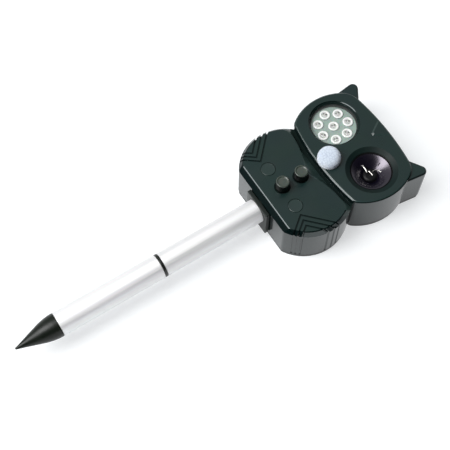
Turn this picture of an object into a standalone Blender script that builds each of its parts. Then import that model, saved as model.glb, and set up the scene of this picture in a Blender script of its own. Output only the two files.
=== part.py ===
"""Owl-shaped garden repeller on a two-section ground stake, lying on its back.

Metres. +Z is the way the face looks, +Y runs from the spike towards the ears and +X is the
speaker's side. The origin is on the flat back, at the waist between the head and the belly.
"""

import math

import bmesh
import bpy

# Fits
SEAT_GAP = 0.0003  # between a fixed piece and its seat
RUN_GAP = 0.0002  # round a pushed-in or turning piece
ROUND = 40  # sides of a large round piece
SMALL_ROUND = 24  # sides of a small round piece

# Housing depth
FACE_Z = 0.043  # front of the head
EAR_DROP = 0.0025  # ears below the face
BELLY_Z = 0.0415  # front of the belly plate
CHAMFER_RISE = 0.004
CHAMFER_RUN = 0.0042  # along the straight bottom edge
LOBE_RUN = 0.0028  # round the lobes
WALL = 0.0022
EDGE_ROUND = 0.0015  # front edge of the head and ears
PLATE_EASE = 0.0005  # narrow facet along the belly plate's edge
REAR_THICKNESS = 0.0034
REAR_INSET = 0.0006
SEAL_THICKNESS = 0.0006
SEAL_INSET = 0.0008
SEAL_WIDTH = 0.0012
LIP_HEIGHT = 0.0026
LIP_WIDTH = 0.0013

# Head outline
HEAD_HALF_WIDTH = 0.0533
HEAD_SIDE_RADIUS = 0.044
EYE_Y = 0.0306
FOREHEAD_Y = 0.0639
FOREHEAD_RADIUS = 0.226
HEAD_TOP_CORNER = 0.016
CHIN_Y = -0.0027
CHIN_RADIUS = 0.204
HEAD_LOW_CORNER = 0.007
EAR_TIP_IN = 0.0066  # middle of its round, inside the head's half width
EAR_TIP_Y = 0.0648
EAR_TIP_RADIUS = 0.0045
EAR_OUTER_SLOPE = 82.8  # degrees from the X axis
EAR_INNER_SLOPE = 33.2
EAR_ROOT = 0.02  # length of an ear's edge, mostly buried in the head
BROW_Y = 0.0499  # point of the raised V on the forehead
BROW_SLOPE = 0.64  # half its width for each metre up
BROW_BLUNT = 0.0011  # half the width of its point
BROW_RISE = 0.0009  # at its point
BROW_END = 0.0003  # rise at the forehead's edge
BROW_RUN = 0.0018  # length of the slope at its point

# Belly outline
BELLY_BOTTOM_Y = -0.0582
BELLY_HALF_WIDTH = 0.0515
LOBE_RADIUS = 0.038
LOBE_Y = -0.025
BELLY_CORNER = 0.005
BROW_GAP = 0.0027  # groove between the head's wall and the belly
TUCK_Y = 0.006  # how far the belly's walls run into the head
PLATE_ARC_RADIUS = 0.066
PLATE_ARC_X = 0.036
PLATE_TOP_Y = -0.0047
PLATE_CORNER = 0.009
CHEVRON_IN = 0.0231  # first point, inside the belly's half width
CHEVRON_Y = -0.0397
CHEVRON_PITCH = 0.0049
CHEVRON_DROP = 0.0008
CHEVRON_UPPER = 44.0  # degrees
CHEVRON_LOWER = -52.0
CHEVRON_REACH = 0.034
CHEVRON_WIDTH = 0.0014
CHEVRON_DEPTH = 0.001

# Eyes
EYE_SHARE = 0.486  # of the head's half width, from the centre line
EYE_RADIUS = 0.021  # at the face
EYE_STEP = 0.0023  # face down to the ledge in front of the window and speaker
EYE_SEAT = 0.0004  # seat of the window and speaker, beyond the eye
EYE_LIP = 0.0003  # upright edge of the ledge
EYE_EASE = 0.0003  # at the face
STROBE_MOUTH = 0.0194  # the ledge's bore
SPEAKER_MOUTH = 0.0173
BARREL_DEPTH = 0.0085
BARREL_WALL = 0.0015
WINDOW_THICKNESS = 0.0012
LED_BOARD_THICKNESS = 0.0016
LED_RING = 0.0127
LED_COUNT = 7
LED_FLANGE_RADIUS = 0.004
LED_DOME_RADIUS = 0.0023
LED_FLANGE = 0.0006
LED_DOME = 0.001
SPACER_BORE = 0.0188
SPEAKER_RIM = 0.0045  # width of the rim round the cone
SPEAKER_SHELF = 0.001
SPEAKER_DEPTH = 0.0184
SPEAKER_FLANGE = 0.0016
BASKET_FLOOR_RADIUS = 0.013
BASKET_WALL = 0.0015
CONE_THICKNESS = 0.0006
CONE_DEPTH = 0.008
CAP_RADIUS = 0.0062
CAP_RISE = 0.0019
PIEZO_RADIUS = 0.0072
PIEZO_THICKNESS = 0.0008

# Motion sensor
SENSOR_Y = 0.0069
LENS_RADIUS = 0.0096
LENS_RISE = 0.0024  # straight part under the dome
LENS_WALL = 0.0008
LENS_SKIRT_RADIUS = 0.0084
LENS_SKIRT = 0.005  # length behind the face
SENSOR_BOARD = (0.016, 0.0148, 0.0016)
SENSOR_CAN_RADIUS = 0.0046
SENSOR_CAN_HEIGHT = 0.0038

# Belly controls
LOWER_KNOB_Y = -0.0379
UPPER_KNOB_Y = -0.0203
KNOB_RADIUS = 0.0057
KNOB_HEIGHT = 0.0095
KNOB_BORE = 0.0065  # depth of its shaft hole
KNOB_SINK = 0.0006  # depth of the round recess that it stands in
KNOB_SINK_RADIUS = 0.0066
SHAFT_RADIUS = 0.003
SHAFT_SINK = 0.004  # length inside the potentiometer
POT_SIZE = (0.0098, 0.0096, 0.006)
POT_DROP = 0.0012  # below the belly plate
PLUG_IN = 0.0321  # inside the belly's half width
PLUG_Y = -0.0385
PLUG_RADIUS = 0.0058
PLUG_THICKNESS = 0.0012
PLUG_STEM_RADIUS = 0.0016
PLUG_STEM = 0.0022
BOARD_EDGE = 0.0155  # inside the belly's half width
BOARD_HEIGHT = 0.036
BOARD_THICKNESS = 0.0016
BOARD_Y = -0.0262
BOARD_POST_IN = 0.0055  # inside the board's edge
BOARD_POST_REACH = 0.011  # along Y from the board's centre
BOARD_POST_RADIUS = 0.0026
BOARD_SCREW_RADIUS = 0.0009
BOARD_SCREW_LENGTH = 0.006

# Power
CELL_RADIUS = 0.0092
CELL_LENGTH = 0.065
CELL_Y = -0.0215
HOLDER_WALL = 0.0012
PANEL_SIZE = (0.06, 0.04, 0.0015)
PANEL_Y = 0.031
PANEL_RECESS = 0.002
BAY_HALF_WIDTH = 0.021
BAY_HALF_HEIGHT = 0.005
BAY_Y = -0.0455
BAY_DEPTH = 0.0016
CONTROL_X = 0.0095  # switch on one side of the bay, USB socket on the other
SLIDER_SIZE = (0.0036, 0.0026)
SLIDER_TRAVEL = 0.0024
SWITCH_SIZE = (0.0092, 0.0046, 0.0052)
USB_SIZE = (0.009, 0.0034, 0.0072)
USB_SHELL = 0.0005
FLAP_LENGTH = 0.0178
FLAP_WIDTH = 0.008
FLAP_THICKNESS = 0.0011

# Stake
STAKE_Z = 0.0251
TUBE_RADIUS = 0.01
TUBE_WALL = 0.001
SOCKET_WALL = 0.0013
SOCKET_DEPTH = 0.0158  # how far the tube goes in
PAD_THICKNESS = 0.0036
PAD_HALF_WIDTH = 0.0137
PAD_TOP_DROP = 0.0006  # below the chamfer
PAD_BOTTOM = 0.0065
UPPER_TUBE_SHOWING = 0.0879
LOWER_TUBE_LENGTH = 0.0891
JOINT_RING = 0.002
JOINT_PLUG = 0.017
SPIKE_LENGTH = 0.0363
SPIKE_PLUG = 0.015
PLUG_EASE = 0.0005  # taper at the ends of the plugs in the tubes
PLUG_LEAD = 0.0015

# Cover screws
EAR_SCREW_IN = 0.0028  # from the middle of the ear's tip
EAR_SCREW_DROP = 0.005
BELLY_SCREW_IN = 0.0191  # inside the belly's half width
BELLY_SCREW_UP = 0.0098  # above the belly's bottom edge
SCREW_RADIUS = 0.0012
SCREW_LENGTH = 0.0125
SCREW_HEAD_RADIUS = 0.0025
SCREW_HEAD = 0.0014
SCREW_SINK = 0.0019
POST_RADIUS = 0.0032

# Sizes that follow from the ones above
EYE_X = HEAD_HALF_WIDTH * EYE_SHARE
EAR_TIP_X = HEAD_HALF_WIDTH - EAR_TIP_IN
EAR_SCREW_X = EAR_TIP_X - EAR_SCREW_IN
EAR_SCREW_Y = EAR_TIP_Y - EAR_SCREW_DROP
BELLY_SCREW_X = BELLY_HALF_WIDTH - BELLY_SCREW_IN
BELLY_SCREW_Y = BELLY_BOTTOM_Y + BELLY_SCREW_UP
CHEVRON_X = BELLY_HALF_WIDTH - CHEVRON_IN
PLUG_X = BELLY_HALF_WIDTH - PLUG_IN
BOARD_HALF = BELLY_HALF_WIDTH - BOARD_EDGE
BOARD_POST_X = BOARD_HALF - BOARD_POST_IN
SEAM_Z = REAR_THICKNESS + SEAL_THICKNESS + 2 * SEAT_GAP
CHAMFER_Z = BELLY_Z - CHAMFER_RISE
PLATE_UNDER_Z = BELLY_Z - WALL
EYE_LEDGE_Z = FACE_Z - EYE_STEP
BARREL_Z = FACE_Z - BARREL_DEPTH
EYE_PIECE_RADIUS = EYE_RADIUS + EYE_SEAT - SEAT_GAP
EYE_PIECE_Z = EYE_LEDGE_Z - SEAT_GAP
POT_Z = PLATE_UNDER_Z - POT_DROP - POT_SIZE[2]
BOARD_TOP_Z = POT_Z - SEAT_GAP
BOARD_Z = BOARD_TOP_Z - BOARD_THICKNESS
KNOB_Z = BELLY_Z - KNOB_SINK + SEAT_GAP
SOCKET_RADIUS = TUBE_RADIUS + RUN_GAP + SOCKET_WALL
SOCKET_FACE_Y = BELLY_BOTTOM_Y - SEAT_GAP - PAD_THICKNESS
JOINT_PLUG_RADIUS = TUBE_RADIUS - TUBE_WALL - RUN_GAP
BAY_FLOOR = BAY_DEPTH


def finish_mesh(name, edit):
    """Closes the edited mesh and turns it into an object of that name."""
    bmesh.ops.remove_doubles(edit, verts=edit.verts, dist=1e-7)
    bmesh.ops.dissolve_degenerate(edit, edges=edit.edges, dist=1e-7)
    bmesh.ops.recalc_face_normals(edit, faces=edit.faces)
    mesh = bpy.data.meshes.new(name)
    edit.to_mesh(mesh)
    edit.free()
    obj = bpy.data.objects.new(name, mesh)
    bpy.context.scene.collection.objects.link(obj)
    return obj


def loft(name, rings):
    """A solid through outlines of equal length, each given with its height."""
    edit = bmesh.new()
    loops = []
    for points, height in rings:
        loops.append([edit.verts.new((x, y, height)) for x, y in points])
    for low, high in zip(loops, loops[1:]):
        for i in range(len(low)):
            j = (i + 1) % len(low)
            edit.faces.new((low[i], low[j], high[j], high[i]))
    edit.faces.new(list(reversed(loops[0])))
    edit.faces.new(loops[-1])
    return finish_mesh(name, edit)


def prism(name, points, low, high):
    return loft(name, [(points, low), (points, high)])


def turned(name, profile, at, sides=ROUND, along_stake=False):
    """A solid of revolution from (radius, height) points, standing on the point at.

    With along_stake its height runs towards the spike instead of up.
    """
    edit = bmesh.new()
    verts = [edit.verts.new((radius, 0, height)) for radius, height in profile]
    pairs = list(zip(verts, verts[1:]))
    if profile[0][0] > 0:
        pairs.append((verts[-1], verts[0]))
    edges = [edit.edges.new(pair) for pair in pairs]
    bmesh.ops.spin(
        edit,
        geom=verts + edges,
        axis=(0, 0, 1),
        cent=(0, 0, 0),
        angle=2 * math.pi,
        steps=sides,
        use_merge=True,
    )
    obj = finish_mesh(name, edit)
    obj.location = at
    if along_stake:
        obj.rotation_euler = (math.pi / 2, 0, 0)
    return obj


def rod(name, radius, length, at, sides=SMALL_ROUND, along_stake=False):
    return turned(name, [(0, 0), (radius, 0), (radius, length), (0, length)], at, sides, along_stake)


def block(name, low, high, bevel=0.0):
    """A box between two corners, with its edges eased."""
    edit = bmesh.new()
    bmesh.ops.create_cube(edit, size=1)
    for vert in edit.verts:
        for axis in range(3):
            vert.co[axis] = high[axis] if vert.co[axis] > 0 else low[axis]
    if bevel:
        bmesh.ops.bevel(edit, geom=edit.edges, offset=bevel, segments=2, profile=0.5, affect="EDGES")
    return finish_mesh(name, edit)


def combine(target, tool, operation):
    """Joins the tool to the target, cuts it away or keeps what both share, and removes it."""
    step = target.modifiers.new("step", "BOOLEAN")
    step.operation = operation
    step.solver = "EXACT"
    step.object = tool
    bpy.context.view_layer.update()
    graph = bpy.context.evaluated_depsgraph_get()
    made = bpy.data.meshes.new_from_object(target.evaluated_get(graph))
    target.modifiers.clear()
    target.data = made
    bpy.data.objects.remove(tool)
    edit = bmesh.new()
    edit.from_mesh(made)
    bmesh.ops.remove_doubles(edit, verts=edit.verts, dist=2e-6)
    bmesh.ops.dissolve_degenerate(edit, edges=edit.edges, dist=2e-6)
    edit.to_mesh(made)
    edit.free()


def join(target, *tools):
    for tool in tools:
        combine(target, tool, "UNION")


def cut(target, *tools):
    for tool in tools:
        combine(target, tool, "DIFFERENCE")


def slice_between(target, low, high):
    """Keeps only the part of the target between two heights."""
    combine(target, block("slab", (-0.2, -0.2, low), (0.2, 0.2, high)), "INTERSECT")


def paint(obj, colour, roughness, metallic=0.0):
    """Gives the piece a material of its own and shades its round faces smooth."""
    look = bpy.data.materials.new(obj.name)
    look.use_nodes = True
    shader = look.node_tree.nodes["Principled BSDF"]
    shader.inputs["Base Color"].default_value = (*colour, 1)
    shader.inputs["Roughness"].default_value = roughness
    shader.inputs["Metallic"].default_value = metallic
    obj.data.materials.clear()
    obj.data.materials.append(look)
    obj.data.shade_smooth()
    obj.data.set_sharp_from_angle(angle=math.radians(35))


def attach(child, parent):
    """The child follows the parent from where it is now."""
    bpy.context.view_layer.update()
    child.parent = parent
    child.matrix_parent_inverse = parent.matrix_world.inverted()


def arc(center, radius, start, end, steps):
    angles = [start + (end - start) * i / steps for i in range(steps + 1)]
    return [(center[0] + radius * math.cos(a), center[1] + radius * math.sin(a)) for a in angles]


def bearing(start, end):
    return math.atan2(end[1] - start[1], end[0] - start[0])


def crossing(first, first_radius, second, second_radius):
    """The point further right of the two where two circles cross."""
    distance = math.dist(first, second)
    along = (first_radius**2 - second_radius**2 + distance**2) / (2 * distance)
    across = math.sqrt(first_radius**2 - along**2)
    ux = (second[0] - first[0]) / distance
    uy = (second[1] - first[1]) / distance
    foot = (first[0] + along * ux, first[1] + along * uy)
    return max(
        (foot[0] - across * uy, foot[1] + across * ux),
        (foot[0] + across * uy, foot[1] - across * ux),
    )


def mirrored(half):
    """A whole outline from its right half, which runs up from the foot of the centre line."""
    return half + [(-x, y) for x, y in reversed(half[1:-1])]


def head_outline(inset):
    side = (HEAD_HALF_WIDTH - HEAD_SIDE_RADIUS, EYE_Y)
    chin = (0, CHIN_Y + CHIN_RADIUS)
    brow = (0, FOREHEAD_Y - FOREHEAD_RADIUS)
    low = crossing(side, HEAD_SIDE_RADIUS - HEAD_LOW_CORNER, chin, CHIN_RADIUS - HEAD_LOW_CORNER)
    high = crossing(side, HEAD_SIDE_RADIUS - HEAD_TOP_CORNER, brow, FOREHEAD_RADIUS - HEAD_TOP_CORNER)
    turns = [bearing(chin, low), bearing(side, low), bearing(side, high), bearing(brow, high)]
    half = arc(chin, CHIN_RADIUS - inset, -math.pi / 2, turns[0], 6)
    half += arc(low, HEAD_LOW_CORNER - inset, turns[0], turns[1], 5)[1:]
    half += arc(side, HEAD_SIDE_RADIUS - inset, turns[1], turns[2], 16)[1:]
    half += arc(high, HEAD_TOP_CORNER - inset, turns[2], turns[3], 6)[1:]
    half += arc(brow, FOREHEAD_RADIUS - inset, turns[3], math.pi / 2, 5)[1:]
    return mirrored(half)


def ear_outline(inset, side):
    """One ear: two straight edges round a tip, with their roots inside the head."""
    outer = math.radians(EAR_OUTER_SLOPE)
    inner = math.radians(EAR_INNER_SLOPE)
    tip = (EAR_TIP_X, EAR_TIP_Y)
    points = arc(tip, EAR_TIP_RADIUS - inset, outer - math.pi / 2, inner + math.pi / 2, 8)
    inner_end = points[-1]
    outer_end = points[0]
    points.append((inner_end[0] - EAR_ROOT * math.cos(inner), inner_end[1] - EAR_ROOT * math.sin(inner)))
    points.append((outer_end[0] - EAR_ROOT * math.cos(outer), outer_end[1] - EAR_ROOT * math.sin(outer)))
    if side < 0:
        points = [(-x, y) for x, y in reversed(points)]
    return points


def brow_outline(out):
    """The blunt V on the forehead, with its sloping edge let out by a distance at the point."""
    back = FOREHEAD_Y + BROW_RUN
    point = BROW_Y + BROW_RUN - out
    tip = BROW_BLUNT * (1 + out / BROW_RUN) / 2
    wide = tip + (back - point) * BROW_SLOPE
    return [(tip, point), (wide, back), (-wide, back), (-tip, point)]


def belly_outline(kind, inset):
    """The belly at one level: its walls, its rim under the head, or the plate on its front."""
    lobe = (BELLY_HALF_WIDTH - LOBE_RADIUS, LOBE_Y)
    radius = LOBE_RADIUS - inset
    bottom = BELLY_BOTTOM_Y + inset
    if kind == "plate":
        radius -= LOBE_RUN
        bottom += CHAMFER_RUN
    round_corner = max(BELLY_CORNER - inset, 0.001)
    corner_y = bottom + round_corner
    corner = (lobe[0] + math.sqrt((radius - round_corner) ** 2 - (corner_y - lobe[1]) ** 2), corner_y)
    start = bearing(lobe, corner)
    half = [(0, bottom)]
    half += arc(corner, round_corner, -math.pi / 2, start, 4)
    if kind == "plate":
        top = (PLATE_ARC_X, PLATE_TOP_Y - PLATE_ARC_RADIUS)
        round_top = PLATE_CORNER - inset
        bend = crossing(lobe, radius - round_top, top, PLATE_ARC_RADIUS - inset - round_top)
        half += arc(lobe, radius, start, bearing(lobe, bend), 14)[1:]
        half += arc(bend, round_top, bearing(lobe, bend), bearing(top, bend), 4)[1:]
        cusp = math.acos(-PLATE_ARC_X / (PLATE_ARC_RADIUS - inset))
        half += arc(top, PLATE_ARC_RADIUS - inset, bearing(top, bend), cusp, 8)[1:]
        return mirrored(half)
    chin = (0, CHIN_Y + CHIN_RADIUS)
    reach = CHIN_RADIUS + BROW_GAP + inset
    end = crossing(lobe, radius, chin, reach)
    half += arc(lobe, radius, start, bearing(lobe, end), 14)[1:]
    if kind == "rim":
        half += [half[-1]] * 4
        half += arc(chin, reach, bearing(chin, end), -math.pi / 2, 8)[1:]
        return mirrored(half)
    tuck = math.asin((TUCK_Y - LOBE_Y) / radius)
    half += arc(lobe, radius, bearing(lobe, end), tuck, 4)[1:]
    side = half[-1][0]
    half += [(side * (1 - i / 8), TUCK_Y) for i in range(1, 9)]
    return mirrored(half)


def belly_solid(name, inset, low, drop):
    """The belly from a low level up to its plate, all of it drawn in by inset and lowered by drop."""
    walls = belly_outline("walls", inset)
    rim = belly_outline("rim", inset)
    plate = belly_outline("plate", inset)
    rim_z = CHAMFER_Z - drop
    up = 1 - PLATE_EASE / CHAMFER_RISE
    eased = [(rx + (px - rx) * up, ry + (py - ry) * up) for (rx, ry), (px, py) in zip(rim, plate)]
    top = belly_outline("plate", inset + PLATE_EASE)
    rings = [(walls, low), (walls, rim_z), (rim, rim_z)]
    rings += [(eased, BELLY_Z - drop - PLATE_EASE), (top, BELLY_Z - drop)]
    return loft(name, rings)


def chevron(name, index, side):
    """An upright V-shaped slab that marks one groove on a lobe."""
    upper = math.radians(CHEVRON_UPPER)
    lower = math.radians(CHEVRON_LOWER)
    half_width = CHEVRON_WIDTH / 2
    x = CHEVRON_X + index * CHEVRON_PITCH
    y = CHEVRON_Y - index * CHEVRON_DROP
    middle = (upper + lower) / 2
    mitre = half_width / math.sin((upper - lower) / 2)
    up_end = (x + CHEVRON_REACH * math.cos(upper), y + CHEVRON_REACH * math.sin(upper))
    low_end = (x + CHEVRON_REACH * math.cos(lower), y + CHEVRON_REACH * math.sin(lower))
    up_side = (half_width * math.sin(upper), -half_width * math.cos(upper))
    low_side = (-half_width * math.sin(lower), half_width * math.cos(lower))
    points = [
        (x - mitre * math.cos(middle), y - mitre * math.sin(middle)),
        (low_end[0] - low_side[0], low_end[1] - low_side[1]),
        (low_end[0] + low_side[0], low_end[1] + low_side[1]),
        (x + mitre * math.cos(middle), y + mitre * math.sin(middle)),
        (up_end[0] + up_side[0], up_end[1] + up_side[1]),
        (up_end[0] - up_side[0], up_end[1] - up_side[1]),
    ]
    if side < 0:
        points = [(-px, py) for px, py in reversed(points)]
    return prism(name, points, -0.01, FACE_Z + 0.01)


def whole_outline(name, inset, low, high, with_ears=True):
    """The head, belly and ears seen from the front as one flat solid between two heights."""
    body = prism(name, head_outline(inset), low - 0.01, high + 0.01)
    if with_ears:
        for side in (1, -1):
            join(body, prism("ear", ear_outline(inset, side), low - 0.008, high + 0.008))
    join(body, prism("belly", belly_outline("walls", inset), low - 0.006, high + 0.006))
    slice_between(body, low, high)
    return body


def bevelled(name, outline, low, high):
    """A solid with its upper edge rounded, from an outline that takes an inset."""
    rings = [(outline(0), low)]
    for step in range(4):
        turn = math.pi / 2 * step / 3
        inset = EDGE_ROUND * (1 - math.cos(turn))
        rings.append((outline(inset), high - EDGE_ROUND * (1 - math.sin(turn))))
    return loft(name, rings)


for old in list(bpy.data.objects):
    bpy.data.objects.remove(old)

# Front cover: the outer shape first
front_cover = bevelled("front_cover", head_outline, -0.01, FACE_Z)
for side in (1, -1):
    join(front_cover, bevelled("ear", lambda inset: ear_outline(inset, side), -0.008, FACE_Z - EAR_DROP))
belly = belly_solid("belly", 0, -0.006, 0)
for side in (1, -1):
    for index in range(3):
        cut(belly, chevron("groove", index, side))
join(belly, belly_solid("belly_core", CHEVRON_DEPTH, -0.004, CHEVRON_DEPTH))
join(front_cover, belly)
slice_between(front_cover, SEAM_Z, FACE_Z + 0.01)
brow_foot = brow_outline(2 * BROW_RUN)
brow_top = brow_outline(0)
brow = loft("brow", [(brow_foot, FACE_Z - BROW_RISE), (brow_top, FACE_Z + BROW_RISE)])
for vert in brow.data.vertices:
    if vert.co.z > FACE_Z and vert.co.y > FOREHEAD_Y:
        vert.co.z = FACE_Z + BROW_END
face_edge = head_outline(EDGE_ROUND + SEAT_GAP)
flat_face = prism("flat_face", face_edge, FACE_Z - BROW_RISE / 2, FACE_Z + 2 * BROW_RISE)
combine(brow, flat_face, "INTERSECT")
join(front_cover, brow)

# Front cover: hollow, eye barrels and posts
cut(front_cover, prism("head_hollow", head_outline(WALL), -0.012, FACE_Z - WALL))
cut(front_cover, belly_solid("belly_hollow", WALL, -0.014, WALL))
for side, mouth in ((1, SPEAKER_MOUTH), (-1, STROBE_MOUTH)):
    barrel_top = BARREL_DEPTH - WALL / 2
    barrel_radius = EYE_RADIUS + EYE_SEAT + BARREL_WALL
    join(front_cover, rod("barrel", barrel_radius, barrel_top, (side * EYE_X, EYE_Y, BARREL_Z), ROUND))
    post_length = PLATE_UNDER_Z + WALL / 2 - SEAM_Z
    join(front_cover, rod("post", POST_RADIUS, post_length, (side * BELLY_SCREW_X, BELLY_SCREW_Y, SEAM_Z)))
    for end in (1, -1):
        post_y = BOARD_Y + end * BOARD_POST_REACH
        post_z = BOARD_TOP_Z + SEAT_GAP
        post_length = PLATE_UNDER_Z + WALL / 2 - post_z
        at = (side * BOARD_POST_X, post_y, post_z)
        join(front_cover, rod("board_post", BOARD_POST_RADIUS, post_length, at))
        pilot = BOARD_SCREW_RADIUS + RUN_GAP
        cut(front_cover, rod("pilot", pilot, BOARD_SCREW_LENGTH, (at[0], at[1], post_z - 0.001), 12))
    eye_hole = [
        (0, BARREL_Z - 0.002),
        (EYE_RADIUS + EYE_SEAT, BARREL_Z - 0.002),
        (EYE_RADIUS + EYE_SEAT, EYE_LEDGE_Z),
        (mouth, EYE_LEDGE_Z),
        (mouth, EYE_LEDGE_Z + EYE_LIP),
        (EYE_RADIUS - EYE_EASE, FACE_Z - EYE_EASE),
        (EYE_RADIUS + EYE_EASE, FACE_Z),
        (EYE_RADIUS + EYE_EASE, FACE_Z + 0.001),
        (0, FACE_Z + 0.001),
    ]
    cut(front_cover, turned("eye_hole", eye_hole, (side * EYE_X, EYE_Y, 0)))
    plug_hole = [
        (0, PLATE_UNDER_Z - 0.002),
        (PLUG_STEM_RADIUS + RUN_GAP, PLATE_UNDER_Z - 0.002),
        (PLUG_STEM_RADIUS + RUN_GAP, BELLY_Z - PLUG_THICKNESS - SEAT_GAP),
        (PLUG_RADIUS + SEAT_GAP, BELLY_Z - PLUG_THICKNESS - SEAT_GAP),
        (PLUG_RADIUS + SEAT_GAP, BELLY_Z + 0.002),
        (0, BELLY_Z + 0.002),
    ]
    cut(front_cover, turned("plug_hole", plug_hole, (side * PLUG_X, PLUG_Y, 0)))
    for x, y in ((EAR_SCREW_X, EAR_SCREW_Y), (BELLY_SCREW_X, BELLY_SCREW_Y)):
        pilot = SCREW_RADIUS + RUN_GAP
        cut(front_cover, rod("pilot", pilot, SCREW_LENGTH + 0.002, (side * x, y, SEAM_Z - 0.004), 16))

# Front cover: sensor, knob and stake holes
lens_hole = LENS_SKIRT_RADIUS + SEAT_GAP
lens_low = FACE_Z - LENS_SKIRT - SEAT_GAP
cut(front_cover, rod("lens_hole", lens_hole, LENS_SKIRT + 0.004, (0, SENSOR_Y, lens_low), ROUND))
for knob_y in (LOWER_KNOB_Y, UPPER_KNOB_Y):
    shaft_hole = [
        (0, PLATE_UNDER_Z - 0.003),
        (SHAFT_RADIUS + 2 * RUN_GAP, PLATE_UNDER_Z - 0.003),
        (SHAFT_RADIUS + 2 * RUN_GAP, BELLY_Z - KNOB_SINK),
        (KNOB_SINK_RADIUS, BELLY_Z - KNOB_SINK),
        (KNOB_SINK_RADIUS, BELLY_Z + 0.002),
        (0, BELLY_Z + 0.002),
    ]
    cut(front_cover, turned("shaft_hole", shaft_hole, (0, knob_y, 0)))
stake_hole = SOCKET_RADIUS + SEAT_GAP
stake_hole_at = (0, BELLY_BOTTOM_Y + WALL + 0.002, STAKE_Z)
cut(front_cover, rod("stake_hole", stake_hole, WALL + 0.005, stake_hole_at, ROUND, along_stake=True))
paint(front_cover, (0.03, 0.045, 0.043), 0.25)

# Rear cover with its lip, solar recess, bay for the controls and screw holes
rear_cover = whole_outline("rear_cover", REAR_INSET, 0, REAR_THICKNESS)
lip_top = REAR_THICKNESS + LIP_HEIGHT
lip = whole_outline("lip", WALL + SEAT_GAP, REAR_THICKNESS - 0.001, lip_top, with_ears=False)
lip_inner = WALL + SEAT_GAP + LIP_WIDTH
cut(lip, whole_outline("lip_hollow", lip_inner, REAR_THICKNESS - 0.002, lip_top + 0.001, with_ears=False))
join(rear_cover, lip)
panel_half = (PANEL_SIZE[0] / 2 + SEAT_GAP, PANEL_SIZE[1] / 2 + SEAT_GAP)
panel_low = (-panel_half[0], PANEL_Y - panel_half[1], -0.001)
panel_high = (panel_half[0], PANEL_Y + panel_half[1], PANEL_RECESS)
cut(rear_cover, block("panel_recess", panel_low, panel_high))
bay_low = (-BAY_HALF_WIDTH, BAY_Y - BAY_HALF_HEIGHT, -0.001)
bay_high = (BAY_HALF_WIDTH, BAY_Y + BAY_HALF_HEIGHT, BAY_FLOOR)
cut(rear_cover, block("bay", bay_low, bay_high))
slot_half = (SLIDER_SIZE[0] / 2 + SLIDER_TRAVEL / 2 + SEAT_GAP, SLIDER_SIZE[1] / 2 + SEAT_GAP)
slot_low = (CONTROL_X - slot_half[0], BAY_Y - slot_half[1], 0)
slot_high = (CONTROL_X + slot_half[0], BAY_Y + slot_half[1], REAR_THICKNESS + 0.001)
cut(rear_cover, block("slider_slot", slot_low, slot_high))
usb_half = (USB_SIZE[0] / 2 + SEAT_GAP, USB_SIZE[1] / 2 + SEAT_GAP)
usb_low = (-CONTROL_X - usb_half[0], BAY_Y - usb_half[1], 0)
usb_high = (-CONTROL_X + usb_half[0], BAY_Y + usb_half[1], REAR_THICKNESS + 0.001)
cut(rear_cover, block("usb_hole", usb_low, usb_high))
screw_places = []
for x, y in ((EAR_SCREW_X, EAR_SCREW_Y), (BELLY_SCREW_X, BELLY_SCREW_Y)):
    screw_places += [(x, y), (-x, y)]
for x, y in screw_places:
    screw_hole = [
        (0, -0.001),
        (SCREW_HEAD_RADIUS + SEAT_GAP, -0.001),
        (SCREW_HEAD_RADIUS + SEAT_GAP, SCREW_SINK),
        (SCREW_RADIUS + RUN_GAP, SCREW_SINK),
        (SCREW_RADIUS + RUN_GAP, REAR_THICKNESS + 0.001),
        (0, REAR_THICKNESS + 0.001),
    ]
    cut(rear_cover, turned("screw_hole", screw_hole, (x, y, 0), SMALL_ROUND))
paint(rear_cover, (0.025, 0.03, 0.03), 0.4)

# Seal between the two covers
seal_low = REAR_THICKNESS + SEAT_GAP
seal_high = seal_low + SEAL_THICKNESS
housing_seal = whole_outline("housing_seal", SEAL_INSET, seal_low, seal_high)
seal_hollow = whole_outline("seal_hollow", SEAL_INSET + SEAL_WIDTH, seal_low - 0.001, seal_high + 0.001)
cut(housing_seal, seal_hollow)
paint(housing_seal, (0.01, 0.01, 0.01), 0.7)

# Cover screws, driven from the back
for number, (x, y) in enumerate(screw_places, 1):
    head_top = SCREW_SINK - SEAT_GAP
    screw = turned(
        f"cover_screw_{number}",
        [
            (0, head_top - SCREW_HEAD),
            (SCREW_HEAD_RADIUS, head_top - SCREW_HEAD),
            (SCREW_HEAD_RADIUS, head_top),
            (SCREW_RADIUS, head_top),
            (SCREW_RADIUS, SCREW_LENGTH),
            (0, SCREW_LENGTH),
        ],
        (x, y, 0),
        SMALL_ROUND,
    )
    paint(screw, (0.6, 0.6, 0.6), 0.3, 1.0)

# Strobe eye: window, board and its LEDs
window_at = (-EYE_X, EYE_Y, EYE_PIECE_Z - WINDOW_THICKNESS)
led_window = rod("led_window", EYE_PIECE_RADIUS, WINDOW_THICKNESS, window_at, ROUND)
paint(led_window, (0.8, 0.9, 0.9), 0.05)
led_top = window_at[2] - SEAT_GAP
led_z = led_top - LED_FLANGE - LED_DOME
board_at = (-EYE_X, EYE_Y, led_z - SEAT_GAP - LED_BOARD_THICKNESS)
led_board = rod("led_board", EYE_PIECE_RADIUS, LED_BOARD_THICKNESS, board_at, ROUND)
paint(led_board, (0.47, 0.6, 0.55), 0.5)
led_spacer = turned(
    "led_spacer",
    [(EYE_PIECE_RADIUS, led_z), (EYE_PIECE_RADIUS, led_top), (SPACER_BORE, led_top), (SPACER_BORE, led_z)],
    (-EYE_X, EYE_Y, 0),
)
paint(led_spacer, (0.015, 0.018, 0.017), 0.5)
led_places = [(-EYE_X, EYE_Y)]
for i in range(LED_COUNT):
    turn = math.pi - 2 * math.pi * i / LED_COUNT
    led_places.append((-EYE_X + LED_RING * math.cos(turn), EYE_Y + LED_RING * math.sin(turn)))
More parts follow.
